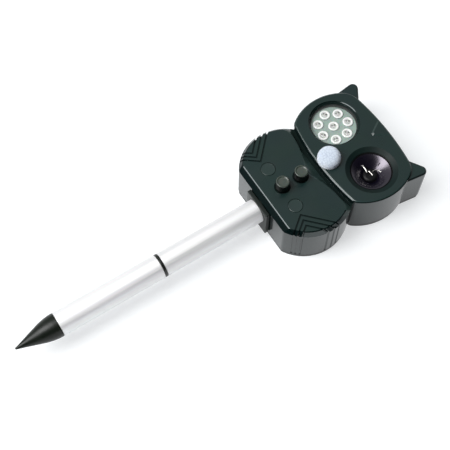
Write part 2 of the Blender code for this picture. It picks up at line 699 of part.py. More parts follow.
for number, (x, y) in enumerate(led_places, 1):
    dome = arc((0, LED_FLANGE), 1, 0, math.pi / 2, 4)
    led_profile = [(0, 0), (LED_FLANGE_RADIUS, 0), (LED_FLANGE_RADIUS, LED_FLANGE)]
    for px, py in dome[:-1]:
        led_profile.append((LED_DOME_RADIUS * px, LED_FLANGE + LED_DOME * (py - LED_FLANGE)))
    led_profile += [(0, LED_FLANGE + LED_DOME)]
    led = turned(f"strobe_led_{number}", led_profile, (x, y, led_z), 16)
    paint(led, (0.9, 0.9, 0.9), 0.1)
    attach(led, led_board)

# Speaker eye: frame, cone, cap and the piezo disc that drives it
shelf_outer = EYE_PIECE_RADIUS - SPEAKER_RIM
shelf_inner = shelf_outer - SPEAKER_SHELF
shelf_z = EYE_PIECE_Z - SPEAKER_FLANGE + 0.0004
flange_z = EYE_PIECE_Z - SPEAKER_FLANGE
basket_z = EYE_PIECE_Z - SPEAKER_DEPTH
neck_z = basket_z + 0.0045
speaker_frame = turned(
    "speaker_frame",
    [
        (EYE_PIECE_RADIUS, EYE_PIECE_Z),
        (EYE_PIECE_RADIUS, flange_z),
        (shelf_outer, flange_z - 0.0002),
        (BASKET_FLOOR_RADIUS, neck_z),
        (BASKET_FLOOR_RADIUS, basket_z),
        (BASKET_FLOOR_RADIUS / 2, basket_z),
        (BASKET_FLOOR_RADIUS / 2, basket_z + BASKET_WALL),
        (BASKET_FLOOR_RADIUS - BASKET_WALL, basket_z + BASKET_WALL),
        (BASKET_FLOOR_RADIUS - BASKET_WALL, neck_z + 0.0004),
        (shelf_inner, flange_z - 0.001),
        (shelf_inner, shelf_z),
        (shelf_outer, shelf_z),
        (shelf_outer, EYE_PIECE_Z),
    ],
    (EYE_X, EYE_Y, 0),
)
paint(speaker_frame, (0.015, 0.015, 0.016), 0.4)
cone_low = shelf_z + SEAT_GAP
cone_top = cone_low + CONE_THICKNESS
cone_edge = shelf_outer - SEAT_GAP
throat = CAP_RADIUS - 0.0004
flare = [(0.0, 0.0), (0.3, 0.2), (0.65, 0.55), (1.0, 1.0)]
cone_start = shelf_inner - 0.0004
cone_upper = [(cone_start - (cone_start - throat) * u, cone_top - CONE_DEPTH * v) for u, v in flare]
cone_under = [(r, z - CONE_THICKNESS) for r, z in reversed(cone_upper)]
cone_profile = [(cone_edge, cone_top)] + cone_upper + cone_under + [(cone_edge, cone_low)]
speaker_cone = turned("speaker_cone", cone_profile, (EYE_X, EYE_Y, 0))
paint(speaker_cone, (0.01, 0.008, 0.013), 0.15)
cap_z = cone_top - CONE_DEPTH + 2 * SEAT_GAP
cap_dome = arc((0, 0), 1, 0, math.pi / 2, 5)
cap_profile = [(0, cap_z), (CAP_RADIUS, cap_z), (CAP_RADIUS, cap_z + 0.0003)]
cap_profile += [(CAP_RADIUS * px, cap_z + 0.0003 + CAP_RISE * py) for px, py in cap_dome[1:-1]]
cap_profile += [(0, cap_z + 0.0003 + CAP_RISE)]
speaker_cap = turned("speaker_cap", cap_profile, (EYE_X, EYE_Y, 0), SMALL_ROUND)
paint(speaker_cap, (0.01, 0.01, 0.012), 0.2)
piezo_z = cone_top - CONE_DEPTH - CONE_THICKNESS - SEAT_GAP - PIEZO_THICKNESS
piezo_disc = rod("piezo_disc", PIEZO_RADIUS, PIEZO_THICKNESS, (EYE_X, EYE_Y, piezo_z))
paint(piezo_disc, (0.7, 0.55, 0.25), 0.3, 1.0)

# Motion sensor: domed lens, can and small board
lens_z = FACE_Z + SEAT_GAP
dome_z = lens_z + LENS_RISE
dome_outer = arc((0, dome_z), LENS_RADIUS, 0, math.pi / 2, 8)
skirt_inner = LENS_SKIRT_RADIUS - LENS_WALL
inner_start = math.acos(skirt_inner / (LENS_RADIUS - LENS_WALL))
dome_inner = arc((0, dome_z), LENS_RADIUS - LENS_WALL, inner_start, math.pi / 2, 5)
lens_profile = [(0, dome_z + LENS_RADIUS)] + list(reversed(dome_outer[:-1]))
lens_profile += [(LENS_RADIUS, lens_z), (LENS_SKIRT_RADIUS, lens_z)]
lens_profile += [(LENS_SKIRT_RADIUS, FACE_Z - LENS_SKIRT), (skirt_inner, FACE_Z - LENS_SKIRT)]
lens_profile += dome_inner[:-1] + [(0, dome_z + LENS_RADIUS - LENS_WALL)]
pir_lens = turned("pir_lens", lens_profile, (0, SENSOR_Y, 0))
paint(pir_lens, (0.85, 0.87, 0.93), 0.3)
board_top = FACE_Z - LENS_SKIRT - SEAT_GAP
sensor_y = max(SENSOR_Y, CHIN_Y + WALL + SEAT_GAP + SENSOR_BOARD[1] / 2)
sensor_low = (-SENSOR_BOARD[0] / 2, sensor_y - SENSOR_BOARD[1] / 2, board_top - SENSOR_BOARD[2])
sensor_high = (SENSOR_BOARD[0] / 2, sensor_y + SENSOR_BOARD[1] / 2, board_top)
sensor_board = block("sensor_board", sensor_low, sensor_high)
paint(sensor_board, (0.05, 0.2, 0.08), 0.5)
can_at = (0, SENSOR_Y, board_top + SEAT_GAP)
sensor_can = rod("sensor_can", SENSOR_CAN_RADIUS, SENSOR_CAN_HEIGHT, can_at)
paint(sensor_can, (0.6, 0.6, 0.58), 0.3, 1.0)

# Main board, its screws and the two potentiometers
board_low = (-BOARD_HALF, BOARD_Y - BOARD_HEIGHT / 2, BOARD_Z)
board_high = (BOARD_HALF, BOARD_Y + BOARD_HEIGHT / 2, BOARD_TOP_Z)
main_board = block("main_board", board_low, board_high)
number = 0
for side in (1, -1):
    for end in (1, -1):
        number += 1
        at = (side * BOARD_POST_X, BOARD_Y + end * BOARD_POST_REACH, BOARD_Z)
        hole_radius = BOARD_SCREW_RADIUS + RUN_GAP
        cut(main_board, rod("hole", hole_radius, 0.006, (at[0], at[1], BOARD_Z - 0.002), 12))
        head_low = BOARD_Z - SEAT_GAP - BOARD_SCREW_RADIUS * 1.4
        screw = turned(
            f"board_screw_{number}",
            [
                (0, head_low),
                (BOARD_SCREW_RADIUS * 2, head_low),
                (BOARD_SCREW_RADIUS * 2, BOARD_Z - SEAT_GAP),
                (BOARD_SCREW_RADIUS, BOARD_Z - SEAT_GAP),
                (BOARD_SCREW_RADIUS, BOARD_Z + BOARD_SCREW_LENGTH),
                (0, BOARD_Z + BOARD_SCREW_LENGTH),
            ],
            (at[0], at[1], 0),
            12,
        )
        paint(screw, (0.6, 0.6, 0.6), 0.3, 1.0)
paint(main_board, (0.05, 0.2, 0.08), 0.5)

# Knobs on their shafts
for name, knob_y in (("frequency", LOWER_KNOB_Y), ("sensitivity", UPPER_KNOB_Y)):
    pot_low = (-POT_SIZE[0] / 2, knob_y - POT_SIZE[1] / 2, POT_Z)
    pot_high = (POT_SIZE[0] / 2, knob_y + POT_SIZE[1] / 2, POT_Z + POT_SIZE[2])
    pot = block(f"{name}_pot", pot_low, pot_high, 0.0004)
    pot_hole_z = POT_Z + POT_SIZE[2] - SHAFT_SINK - SEAT_GAP
    cut(pot, rod("pot_hole", SHAFT_RADIUS + RUN_GAP, SHAFT_SINK + 0.002, (0, knob_y, pot_hole_z)))
    paint(pot, (0.05, 0.08, 0.2), 0.4)
    knob = turned(
        f"{name}_knob",
        [
            (0, KNOB_BORE),
            (SHAFT_RADIUS + RUN_GAP, KNOB_BORE),
            (SHAFT_RADIUS + RUN_GAP, 0),
            (KNOB_RADIUS, 0),
            (KNOB_RADIUS * 0.98, KNOB_HEIGHT - 0.0005),
            (KNOB_RADIUS * 0.92, KNOB_HEIGHT),
            (KNOB_RADIUS * 0.8, KNOB_HEIGHT),
            (KNOB_RADIUS * 0.74, KNOB_HEIGHT - 0.0006),
            (KNOB_RADIUS * 0.66, KNOB_HEIGHT - 0.0006),
            (KNOB_RADIUS * 0.6, KNOB_HEIGHT - 0.0001),
            (0, KNOB_HEIGHT - 0.0001),
        ],
        (0, knob_y, KNOB_Z),
        32,
    )
    paint(knob, (0.1, 0.1, 0.085), 0.35)
    shaft_low = pot_hole_z + SEAT_GAP
    shaft_length = KNOB_Z + KNOB_BORE - SEAT_GAP - shaft_low
    shaft = rod(f"{name}_shaft", SHAFT_RADIUS, shaft_length, (0, knob_y, shaft_low))
    paint(shaft, (0.7, 0.7, 0.7), 0.3, 1.0)
    attach(shaft, knob)

# Blank plugs, flush with the belly plate
for name, side in (("right_plug", 1), ("left_plug", -1)):
    plug = turned(
        name,
        [
            (0, BELLY_Z - PLUG_THICKNESS - PLUG_STEM),
            (PLUG_STEM_RADIUS, BELLY_Z - PLUG_THICKNESS - PLUG_STEM),
            (PLUG_STEM_RADIUS, BELLY_Z - PLUG_THICKNESS),
            (PLUG_RADIUS, BELLY_Z - PLUG_THICKNESS),
            (PLUG_RADIUS, BELLY_Z - 0.0003),
            (PLUG_RADIUS - 0.0003, BELLY_Z),
            (0, BELLY_Z),
        ],
        (side * PLUG_X, PLUG_Y, 0),
        32,
    )
    paint(plug, (0.04, 0.05, 0.048), 0.35)

# Battery cell across the belly, in a tray on the rear cover
tray_low = REAR_THICKNESS + SEAT_GAP
cell_z = tray_low + HOLDER_WALL + SEAT_GAP + CELL_RADIUS
tray_half = (CELL_LENGTH / 2 + SEAT_GAP + HOLDER_WALL, CELL_RADIUS + SEAT_GAP + HOLDER_WALL)
battery_holder = block(
    "battery_holder",
    (-tray_half[0], CELL_Y - tray_half[1], tray_low),
    (tray_half[0], CELL_Y + tray_half[1], cell_z + 0.001),
)
cell_room = rod("cell_room", CELL_RADIUS + SEAT_GAP, CELL_LENGTH + 2 * SEAT_GAP, (0, 0, 0), ROUND)
cell_room.rotation_euler = (0, math.pi / 2, 0)
cell_room.location = (-CELL_LENGTH / 2 - SEAT_GAP, CELL_Y, cell_z)
cut(battery_holder, cell_room)
room_low = (-CELL_LENGTH / 2 - SEAT_GAP, CELL_Y - CELL_RADIUS - SEAT_GAP, cell_z)
room_high = (CELL_LENGTH / 2 + SEAT_GAP, CELL_Y + CELL_RADIUS + SEAT_GAP, cell_z + 0.004)
cut(battery_holder, block("cell_way", room_low, room_high))
paint(battery_holder, (0.02, 0.02, 0.02), 0.5)
battery_cell = rod("battery_cell", CELL_RADIUS, CELL_LENGTH, (-CELL_LENGTH / 2, CELL_Y, cell_z), ROUND)
battery_cell.rotation_euler = (0, math.pi / 2, 0)
paint(battery_cell, (0.1, 0.2, 0.5), 0.4)

# Solar panel on the back of the head
panel_z = PANEL_RECESS - SEAT_GAP - PANEL_SIZE[2]
solar_panel = block(
    "solar_panel",
    (-PANEL_SIZE[0] / 2, PANEL_Y - PANEL_SIZE[1] / 2, panel_z),
    (PANEL_SIZE[0] / 2, PANEL_Y + PANEL_SIZE[1] / 2, panel_z + PANEL_SIZE[2]),
)
paint(solar_panel, (0.01, 0.015, 0.05), 0.1)

# Power switch, off at rest with its slider at the inner end of the slot
switch_low = (CONTROL_X - SWITCH_SIZE[0] / 2, BAY_Y - SWITCH_SIZE[1] / 2, REAR_THICKNESS + SEAT_GAP)
switch_high = (
    CONTROL_X + SWITCH_SIZE[0] / 2,
    BAY_Y + SWITCH_SIZE[1] / 2,
    REAR_THICKNESS + SEAT_GAP + SWITCH_SIZE[2],
)
switch_body = block("switch_body", switch_low, switch_high)
paint(switch_body, (0.3, 0.3, 0.3), 0.4, 1.0)
slider_x = CONTROL_X - SLIDER_TRAVEL / 2
slider_low = (slider_x - SLIDER_SIZE[0] / 2, BAY_Y - SLIDER_SIZE[1] / 2, SEAT_GAP)
slider_high = (slider_x + SLIDER_SIZE[0] / 2, BAY_Y + SLIDER_SIZE[1] / 2, REAR_THICKNESS)
switch_slider = block("switch_slider", slider_low, slider_high, 0.0002)
paint(switch_slider, (0.02, 0.02, 0.02), 0.5)

# USB socket behind its rubber flap
usb_z = BAY_FLOOR + SEAT_GAP
usb_socket = block(
    "usb_socket",
    (-CONTROL_X - USB_SIZE[0] / 2, BAY_Y - USB_SIZE[1] / 2, usb_z),
    (-CONTROL_X + USB_SIZE[0] / 2, BAY_Y + USB_SIZE[1] / 2, usb_z + USB_SIZE[2]),
)
mouth_half = (USB_SIZE[0] / 2 - USB_SHELL, USB_SIZE[1] / 2 - USB_SHELL)
mouth_low = (-CONTROL_X - mouth_half[0], BAY_Y - mouth_half[1], usb_z - 0.001)
mouth_high = (-CONTROL_X + mouth_half[0], BAY_Y + mouth_half[1], usb_z + USB_SIZE[2] - 2 * USB_SHELL)
cut(usb_socket, block("mouth", mouth_low, mouth_high))
paint(usb_socket, (0.6, 0.6, 0.6), 0.3, 1.0)
hinge_radius = FLAP_THICKNESS / 2
hinge_z = BAY_FLOOR - SEAT_GAP - hinge_radius
hinge_x = -BAY_HALF_WIDTH + SEAT_GAP + hinge_radius
flap_side = arc((0, 0), hinge_radius, math.pi / 2, 3 * math.pi / 2, 8)
flap_side += [(FLAP_LENGTH - hinge_radius, -hinge_radius), (FLAP_LENGTH - hinge_radius, hinge_radius)]
usb_cover = prism("usb_cover", flap_side, -FLAP_WIDTH / 2, FLAP_WIDTH / 2)
for vert in usb_cover.data.vertices:
    vert.co = (vert.co.x, -vert.co.z, vert.co.y)
usb_cover.location = (hinge_x, BAY_Y, hinge_z)
paint(usb_cover, (0.015, 0.015, 0.015), 0.7)

# Socket in the bottom wall that takes the stake
pad_high = CHAMFER_Z - PAD_TOP_DROP
stake_socket = block(
    "stake_socket",
    (-PAD_HALF_WIDTH, SOCKET_FACE_Y, PAD_BOTTOM),
    (PAD_HALF_WIDTH, BELLY_BOTTOM_Y - SEAT_GAP, pad_high),
    0.0006,
)
spigot_length = SOCKET_DEPTH - PAD_THICKNESS + SOCKET_WALL + 0.002
spigot_at = (0, SOCKET_FACE_Y + SOCKET_DEPTH + SEAT_GAP + SOCKET_WALL, STAKE_Z)
join(stake_socket, rod("spigot", SOCKET_RADIUS, spigot_length, spigot_at, ROUND, along_stake=True))
bore_at = (0, SOCKET_FACE_Y + SOCKET_DEPTH + SEAT_GAP, STAKE_Z)
bore_length = SOCKET_DEPTH + 0.003
cut(stake_socket, rod("bore", TUBE_RADIUS + RUN_GAP, bore_length, bore_at, ROUND, along_stake=True))
paint(stake_socket, (0.03, 0.035, 0.03), 0.3)

# Stake: two tubes on a joint with a ring, and the spike
upper_length = SOCKET_DEPTH + UPPER_TUBE_SHOWING
upper_start = SOCKET_FACE_Y + SOCKET_DEPTH
tube_inner = TUBE_RADIUS - TUBE_WALL
upper_tube = turned(
    "upper_tube",
    [(TUBE_RADIUS, 0), (TUBE_RADIUS, upper_length), (tube_inner, upper_length), (tube_inner, 0)],
    (0, upper_start, STAKE_Z),
    along_stake=True,
)
paint(upper_tube, (0.85, 0.85, 0.86), 0.25, 1.0)
joint_start = upper_start - upper_length - SEAT_GAP
tube_joint = turned(
    "tube_joint",
    [
        (0, -JOINT_PLUG),
        (JOINT_PLUG_RADIUS - PLUG_EASE, -JOINT_PLUG),
        (JOINT_PLUG_RADIUS, PLUG_LEAD - JOINT_PLUG),
        (JOINT_PLUG_RADIUS, 0),
        (TUBE_RADIUS, 0),
        (TUBE_RADIUS, JOINT_RING),
        (JOINT_PLUG_RADIUS, JOINT_RING),
        (JOINT_PLUG_RADIUS, JOINT_RING + JOINT_PLUG - PLUG_LEAD),
        (JOINT_PLUG_RADIUS - PLUG_EASE, JOINT_RING + JOINT_PLUG),
        (0, JOINT_RING + JOINT_PLUG),
    ],
    (0, joint_start, STAKE_Z),
    along_stake=True,
)
paint(tube_joint, (0.012, 0.014, 0.013), 0.35)
lower_start = joint_start - JOINT_RING - SEAT_GAP
lower_tube = turned(
    "lower_tube",
    [
        (TUBE_RADIUS, 0),
        (TUBE_RADIUS, LOWER_TUBE_LENGTH),
        (tube_inner, LOWER_TUBE_LENGTH),
        (tube_inner, 0),
    ],
    (0, lower_start, STAKE_Z),
    along_stake=True,
)
paint(lower_tube, (0.85, 0.85, 0.86), 0.25, 1.0)
spike_start = lower_start - LOWER_TUBE_LENGTH - SEAT_GAP
taper = [(0.0, 1.0), (0.1, 0.99), (0.22, 0.935), (0.36, 0.815)]
taper += [(0.63, 0.5), (0.85, 0.23), (0.95, 0.12), (0.985, 0.08)]
spike_profile = [
    (0, -SPIKE_PLUG),
    (JOINT_PLUG_RADIUS - PLUG_EASE, -SPIKE_PLUG),
    (JOINT_PLUG_RADIUS, PLUG_LEAD - SPIKE_PLUG),
    (JOINT_PLUG_RADIUS, 0),
]
spike_profile += [(TUBE_RADIUS * width, SPIKE_LENGTH * t) for t, width in taper]
spike_profile += [(0, SPIKE_LENGTH)]
spike = turned("spike", spike_profile, (0, spike_start, STAKE_Z), along_stake=True)
paint(spike, (0.013, 0.015, 0.013), 0.3)
attach(spike, lower_tube)
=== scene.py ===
"""Owl-shaped garden repeller on its ground stake: the looks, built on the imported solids."""

import math

import bpy
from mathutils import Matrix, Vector


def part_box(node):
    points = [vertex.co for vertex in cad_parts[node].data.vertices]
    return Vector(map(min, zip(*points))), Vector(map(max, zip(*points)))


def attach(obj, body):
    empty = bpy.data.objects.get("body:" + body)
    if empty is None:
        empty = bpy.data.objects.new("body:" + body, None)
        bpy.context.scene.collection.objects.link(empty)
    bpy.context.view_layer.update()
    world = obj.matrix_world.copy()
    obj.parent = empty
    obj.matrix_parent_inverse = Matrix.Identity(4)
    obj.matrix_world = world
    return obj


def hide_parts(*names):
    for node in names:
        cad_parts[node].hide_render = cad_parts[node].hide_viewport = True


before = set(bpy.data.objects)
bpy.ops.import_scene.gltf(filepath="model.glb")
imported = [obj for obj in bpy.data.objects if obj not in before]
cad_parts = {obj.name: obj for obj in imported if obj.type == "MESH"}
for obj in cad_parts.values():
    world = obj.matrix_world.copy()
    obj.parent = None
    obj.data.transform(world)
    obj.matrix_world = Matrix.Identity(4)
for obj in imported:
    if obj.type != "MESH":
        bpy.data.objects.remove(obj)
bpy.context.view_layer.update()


# The view. A long lens looks down from above the repeller's lower right side, with the stake
# running to the lower left of the frame.
def aimed(place, target):
    """The turn that points a camera or a light from one place to another."""
    return (target - place).to_track_quat("-Z", "Y").to_euler()


camera_at = Vector((0.27544, -0.26689, 0.7090))
looked_at = Vector((-0.01231, -0.08397, 0.0015))
bpy.ops.object.camera_add(location=camera_at, rotation=aimed(camera_at, looked_at))
camera = bpy.context.object
camera.data.lens = 76.2
camera.data.sensor_width = 36
bpy.context.scene.camera = camera


# Rear cover. A flat black lid moulded with a fine spark-eroded texture, a lip that locates it in
# the front cover, a recess for the solar panel and a bay for the switch and the charging socket.
def clear_selection():
    """Nothing is selected and no piece is open for editing."""
    if bpy.context.mode != "OBJECT":
        bpy.ops.object.mode_set(mode="OBJECT")
    bpy.ops.object.select_all(action="DESELECT")


def take_up(piece):
    """Makes one piece the only one selected, and the active one."""
    clear_selection()
    piece.select_set(True)
    bpy.context.view_layer.objects.active = piece


def copied(mesh, name):
    """A new piece with its own copy of a mesh, taken up for modelling."""
    piece = bpy.data.objects.new(name, mesh.copy())
    bpy.context.scene.collection.objects.link(piece)
    take_up(piece)
    return piece


def merged_copy(solid, name, same_point=2e-6, same_face=0.8):
    """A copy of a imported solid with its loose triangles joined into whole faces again."""
    piece = copied(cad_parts[solid].data, name)
    piece.data.materials.clear()
    bpy.ops.mesh.customdata_custom_splitnormals_clear()
    bpy.ops.object.mode_set(mode="EDIT")
    bpy.ops.mesh.select_all(action="SELECT")
    bpy.ops.mesh.remove_doubles(threshold=same_point)
    bpy.ops.mesh.dissolve_limited(angle_limit=math.radians(same_face))
    bpy.ops.object.mode_set(mode="OBJECT")
    return piece


def level_normals(piece, smooth):
    """Shades bends below that angle as round, and keeps the flats beside them flat."""
    bpy.ops.object.shade_smooth_by_angle(angle=math.radians(smooth))
    flats = piece.modifiers.new("flats", "WEIGHTED_NORMAL")
    flats.keep_sharp = True
    bpy.ops.object.modifier_apply(modifier="flats")


def ease_edges(piece, width, smooth=40, segments=2, sharp=28):
    """Rounds the sharp edges as a mould leaves them."""
    eased = piece.modifiers.new("eased", "BEVEL")
    eased.width = width
    eased.segments = segments
    eased.limit_method = "ANGLE"
    eased.angle_limit = math.radians(sharp)
    bpy.ops.object.modifier_apply(modifier="eased")
    level_normals(piece, smooth)


def feed(tree, node, inputs):
    """Gives a node's inputs fixed values or other nodes' outputs."""
    for socket, value in inputs.items():
        if isinstance(value, bpy.types.NodeSocket):
            tree.links.new(value, node.inputs[socket])
        else:
            node.inputs[socket].default_value = value


def add_node(tree, kind, inputs=None, **settings):
    """A new node with those settings and inputs."""
    node = tree.nodes.new(kind)
    for setting, value in settings.items():
        setattr(node, setting, value)
    feed(tree, node, inputs or {})
    return node


def object_place(tree):
    """Where a point is on its piece, in metres."""
    return add_node(tree, "ShaderNodeTexCoord").outputs["Object"]


def reckoned(tree, operation, first, second):
    """One sum on two values."""
    node = add_node(tree, "ShaderNodeMath", {0: first, 1: second}, operation=operation)
    return node.outputs["Value"]


def ranged(tree, value, given_range=(0, 1), new_range=(0, 1), way="LINEAR"):
    """A value moved from one range to another."""
    limits = zip(("From Min", "From Max", "To Min", "To Max"), (*given_range, *new_range))
    inputs = {"Value": value, **dict(limits)}
    node = add_node(tree, "ShaderNodeMapRange", inputs, interpolation_type=way)
    return node.outputs["Result"]


def mixed(tree, factor, first, second, way="MIX"):
    """A mix of two colours."""
    colours = {"Factor": factor, "A": first, "B": second}
    node = add_node(tree, "ShaderNodeMix", colours, data_type="RGBA", blend_type=way)
    return node.outputs["Result"]


COLOUR, VALUE, DIRECTION = "NodeSocketColor", "NodeSocketFloat", "NodeSocketVector"


def skin_group(name, needs):
    """A node group with those inputs, which gives out a colour, a roughness and a normal."""
    group = bpy.data.node_groups.new(name, "ShaderNodeTree")
    gives = {"Colour": COLOUR, "Roughness": VALUE, "Normal": DIRECTION}
    for way, sockets in (("INPUT", needs), ("OUTPUT", gives)):
        for socket, kind in sockets.items():
            group.interface.new_socket(socket, in_out=way, socket_type=kind)
    return group, add_node(group, "NodeGroupInput").outputs


def join_skin(group, given, fine, depth, broad, mottle, dulling):
    """Takes a skin's relief from the fine noise, and its colour and gloss from the broad one."""
    gloss = ranged(group, broad["Fac"], (0.3, 0.7), dulling)
    heights = {"Strength": 1, "Distance": depth, "Height": fine["Fac"]}
    result = {
        "Colour": mixed(group, mottle, given["Colour"], broad["Color"], "MULTIPLY"),
        "Roughness": reckoned(group, "MULTIPLY", given["Roughness"], gloss),
        "Normal": add_node(group, "ShaderNodeBump", heights).outputs["Normal"],
    }
    add_node(group, "NodeGroupOutput", result)


moulded_needs = {
    "Colour": COLOUR,
    "Roughness": VALUE,
    "Grain Scale": VALUE,
    "Grain Depth": VALUE,
    "Mottle": VALUE,
    "Mottle Scale": VALUE,
}
moulded_skin, given = skin_group("moulded_skin", moulded_needs)
place = object_place(moulded_skin)
grains = {"Vector": place, "Scale": given["Grain Scale"], "Detail": 3}
grain = add_node(moulded_skin, "ShaderNodeTexNoise", grains).outputs
patches = {"Vector": place, "Scale": given["Mottle Scale"], "Detail": 4}
patch = add_node(moulded_skin, "ShaderNodeTexNoise", patches).outputs
join_skin(
    moulded_skin,
    given,
    fine=grain,
    depth=given["Grain Depth"],
    broad=patch,
    mottle=given["Mottle"],
    dulling=(0.85, 1.18),
)


def new_look(name):
    """A new material."""
    look = bpy.data.materials.new(name)
    look.use_nodes = True
    return look


def shade(look, inputs):
    """Gives the sockets of a material's shader fixed values or nodes' outputs."""
    feed(look.node_tree, look.node_tree.nodes["Principled BSDF"], inputs)


def skinned(name, group, values):
    """A material with a skin on it, whose inputs have those values."""
    look = new_look(name)
    skin = add_node(look.node_tree, "ShaderNodeGroup", values, node_tree=group).outputs
    shade(
        look,
        {"Base Color": skin["Colour"], "Roughness": skin["Roughness"], "Normal": skin["Normal"]},
    )
    return look


def moulded(
    name, colour, roughness, grain=0.0004, depth=0.00001, mottle=0.25, patch=0.018, specular=0.5
):
    """A moulded plastic or rubber, with the sizes of its grain and patches in metres."""
    values = {
        "Colour": (*colour, 1),
        "Roughness": roughness,
        "Grain Scale": 1 / grain,
        "Grain Depth": depth,
        "Mottle": mottle,
        "Mottle Scale": 1 / patch,
    }
    look = skinned(name, moulded_skin, values)
    shade(look, {"Specular IOR Level": specular})
    return look


rear_look = moulded("rear_plastic", (0.014, 0.018, 0.017), 0.42, grain=0.0003, depth=0.00003)
back_shell = merged_copy("rear_cover", "back_shell")
ease_edges(back_shell, 0.00025)
back_shell.data.materials.append(rear_look)
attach(back_shell, "housing")
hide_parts("rear_cover")


# Seal. A thin ring of black rubber, moulded in one piece and squeezed between the two covers all
# the way round.
def dress(look, *names):
    """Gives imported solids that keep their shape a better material."""
    for name in names:
        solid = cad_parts[name]
        solid.data.materials.clear()
        solid.data.materials.append(look)


rubber_look = moulded("seal_rubber", (0.01, 0.01, 0.01), 0.65, grain=0.0005, depth=0.00002)
dress(rubber_look, "housing_seal")


# Solar panel. Dark blue cells joined by thin silver strips under clear resin, glued into the
# recess on the back of the head.
def boxed(name, low, high):
    """A block between two corners, left open for editing with all of it selected."""
    clear_selection()
    bpy.ops.mesh.primitive_cube_add(size=1, location=(0, 0, 0))
    piece = bpy.context.object
    piece.name = name
    piece.data.name = name
    bpy.ops.object.mode_set(mode="EDIT")
    bpy.ops.transform.resize(value=high - low)
    bpy.ops.transform.translate(value=(low + high) / 2)
    return piece


def on_back(face):
    """Whether a face looks out of the repeller's back."""
    return face.normal.z < -0.9


def pick_faces(piece, wanted):
    """Selects, in edit mode, only the faces that pass a test."""
    bpy.ops.mesh.select_mode(type="FACE")
    bpy.ops.mesh.select_all(action="DESELECT")
    bpy.ops.object.mode_set(mode="OBJECT")
    for face in piece.data.polygons:
        face.select = wanted(face)
    bpy.ops.object.mode_set(mode="EDIT")


def finish_faces(piece, looks, choose):
    """Gives a piece several finishes, and each face the one whose number is chosen."""
    for look in looks:
        piece.data.materials.append(look)
    for face in piece.data.polygons:
        face.material_index = int(choose(face))


def stripes(tree, source, pitch, width):
    """Lines of that width, one every pitch, as a mask."""
    from_line = reckoned(tree, "PINGPONG", source, pitch / 2)
    return reckoned(tree, "LESS_THAN", from_line, width / 2)


low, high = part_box("solar_panel")
panel_y = (low.y + high.y) / 2
border, sunk, margin = 0.0012, 0.0001, 0.0006
solar_sheet = boxed("solar_sheet", low, high)
pick_faces(solar_sheet, on_back)
bpy.ops.mesh.inset(thickness=border)
bpy.ops.transform.translate(value=(0, 0, sunk))
bpy.ops.mesh.inset(thickness=margin)
bpy.ops.object.mode_set(mode="OBJECT")
ease_edges(solar_sheet, 0.0002)

cell_pitch = 0.0096
cell_look = new_look("solar_cells")
cells = cell_look.node_tree
place = object_place(cells)
shifted = {"Vector": place, "Location": (3 * cell_pitch, 0, 0)}
centred = add_node(cells, "ShaderNodeMapping", shifted).outputs["Vector"]
along = add_node(cells, "ShaderNodeSeparateXYZ", {"Vector": centred}).outputs
gaps = stripes(cells, along["X"], cell_pitch, 0.0005)
fingers = stripes(cells, along["X"], 0.0012, 0.00012)
bars = stripes(cells, along["Y"], 0.0124, 0.0007)
silver = reckoned(cells, "MAXIMUM", fingers, bars)
crystals = {"Vector": place, "Scale": 420}
crystal = add_node(cells, "ShaderNodeTexVoronoi", crystals).outputs["Color"]
blue = mixed(cells, crystal, (0.004, 0.008, 0.03, 1), (0.012, 0.022, 0.075, 1))
silvered = mixed(cells, silver, blue, (0.42, 0.43, 0.45, 1))
parted = mixed(cells, gaps, silvered, (0.01, 0.01, 0.012, 1))
resin = {"Roughness": 0.3, "Coat Weight": 1, "Coat Roughness": 0.04}
shade(cell_look, {"Base Color": parted, **resin})
border_look = moulded("panel_border", (0.012, 0.013, 0.016), 0.3)
cells_x, cells_y = high.x - 0.0016, 0.0184


def on_cells(face):
    """Whether a face is part of the window over the cells."""
    inside = abs(face.center.x) < cells_x and abs(face.center.y - panel_y) < cells_y
    return inside and on_back(face)


finish_faces(solar_sheet, (border_look, cell_look), on_cells)
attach(solar_sheet, "housing")
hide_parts("solar_panel")


# Power switch. A steel-cased slide switch inside the rear cover, worked by a ribbed button of
# black plastic that slides in a slot in the back.
def bisected(places):
    """Cuts new edges across the piece being edited, at each of those places along X."""
    for place in places:
        bpy.ops.mesh.select_all(action="SELECT")
        bpy.ops.mesh.bisect(plane_co=(place, 0, 0), plane_no=(1, 0, 0))


def sink(depth):
    """Presses the selected faces of the back inwards, with walls round them."""
    bpy.ops.mesh.extrude_region_move(TRANSFORM_OT_translate={"value": (0, 0, depth)})


trim_look = moulded("black_trim", (0.006, 0.009, 0.0075), 0.4)
low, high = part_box("switch_slider")
strips = 9
strip = (high.x - low.x) / strips
switch_button = boxed("switch_button", low, high)
bisected([low.x + strip * i for i in range(1, strips)])
pick_faces(
    switch_button,
    lambda face: on_back(face) and round((face.center.x - low.x) / strip - 0.5) % 2 == 1,
)
sink(0.0004)
bpy.ops.object.mode_set(mode="OBJECT")
ease_edges(switch_button, 0.00006)
switch_button.data.materials.append(trim_look)
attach(switch_button, "power_slider")
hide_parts("switch_slider")

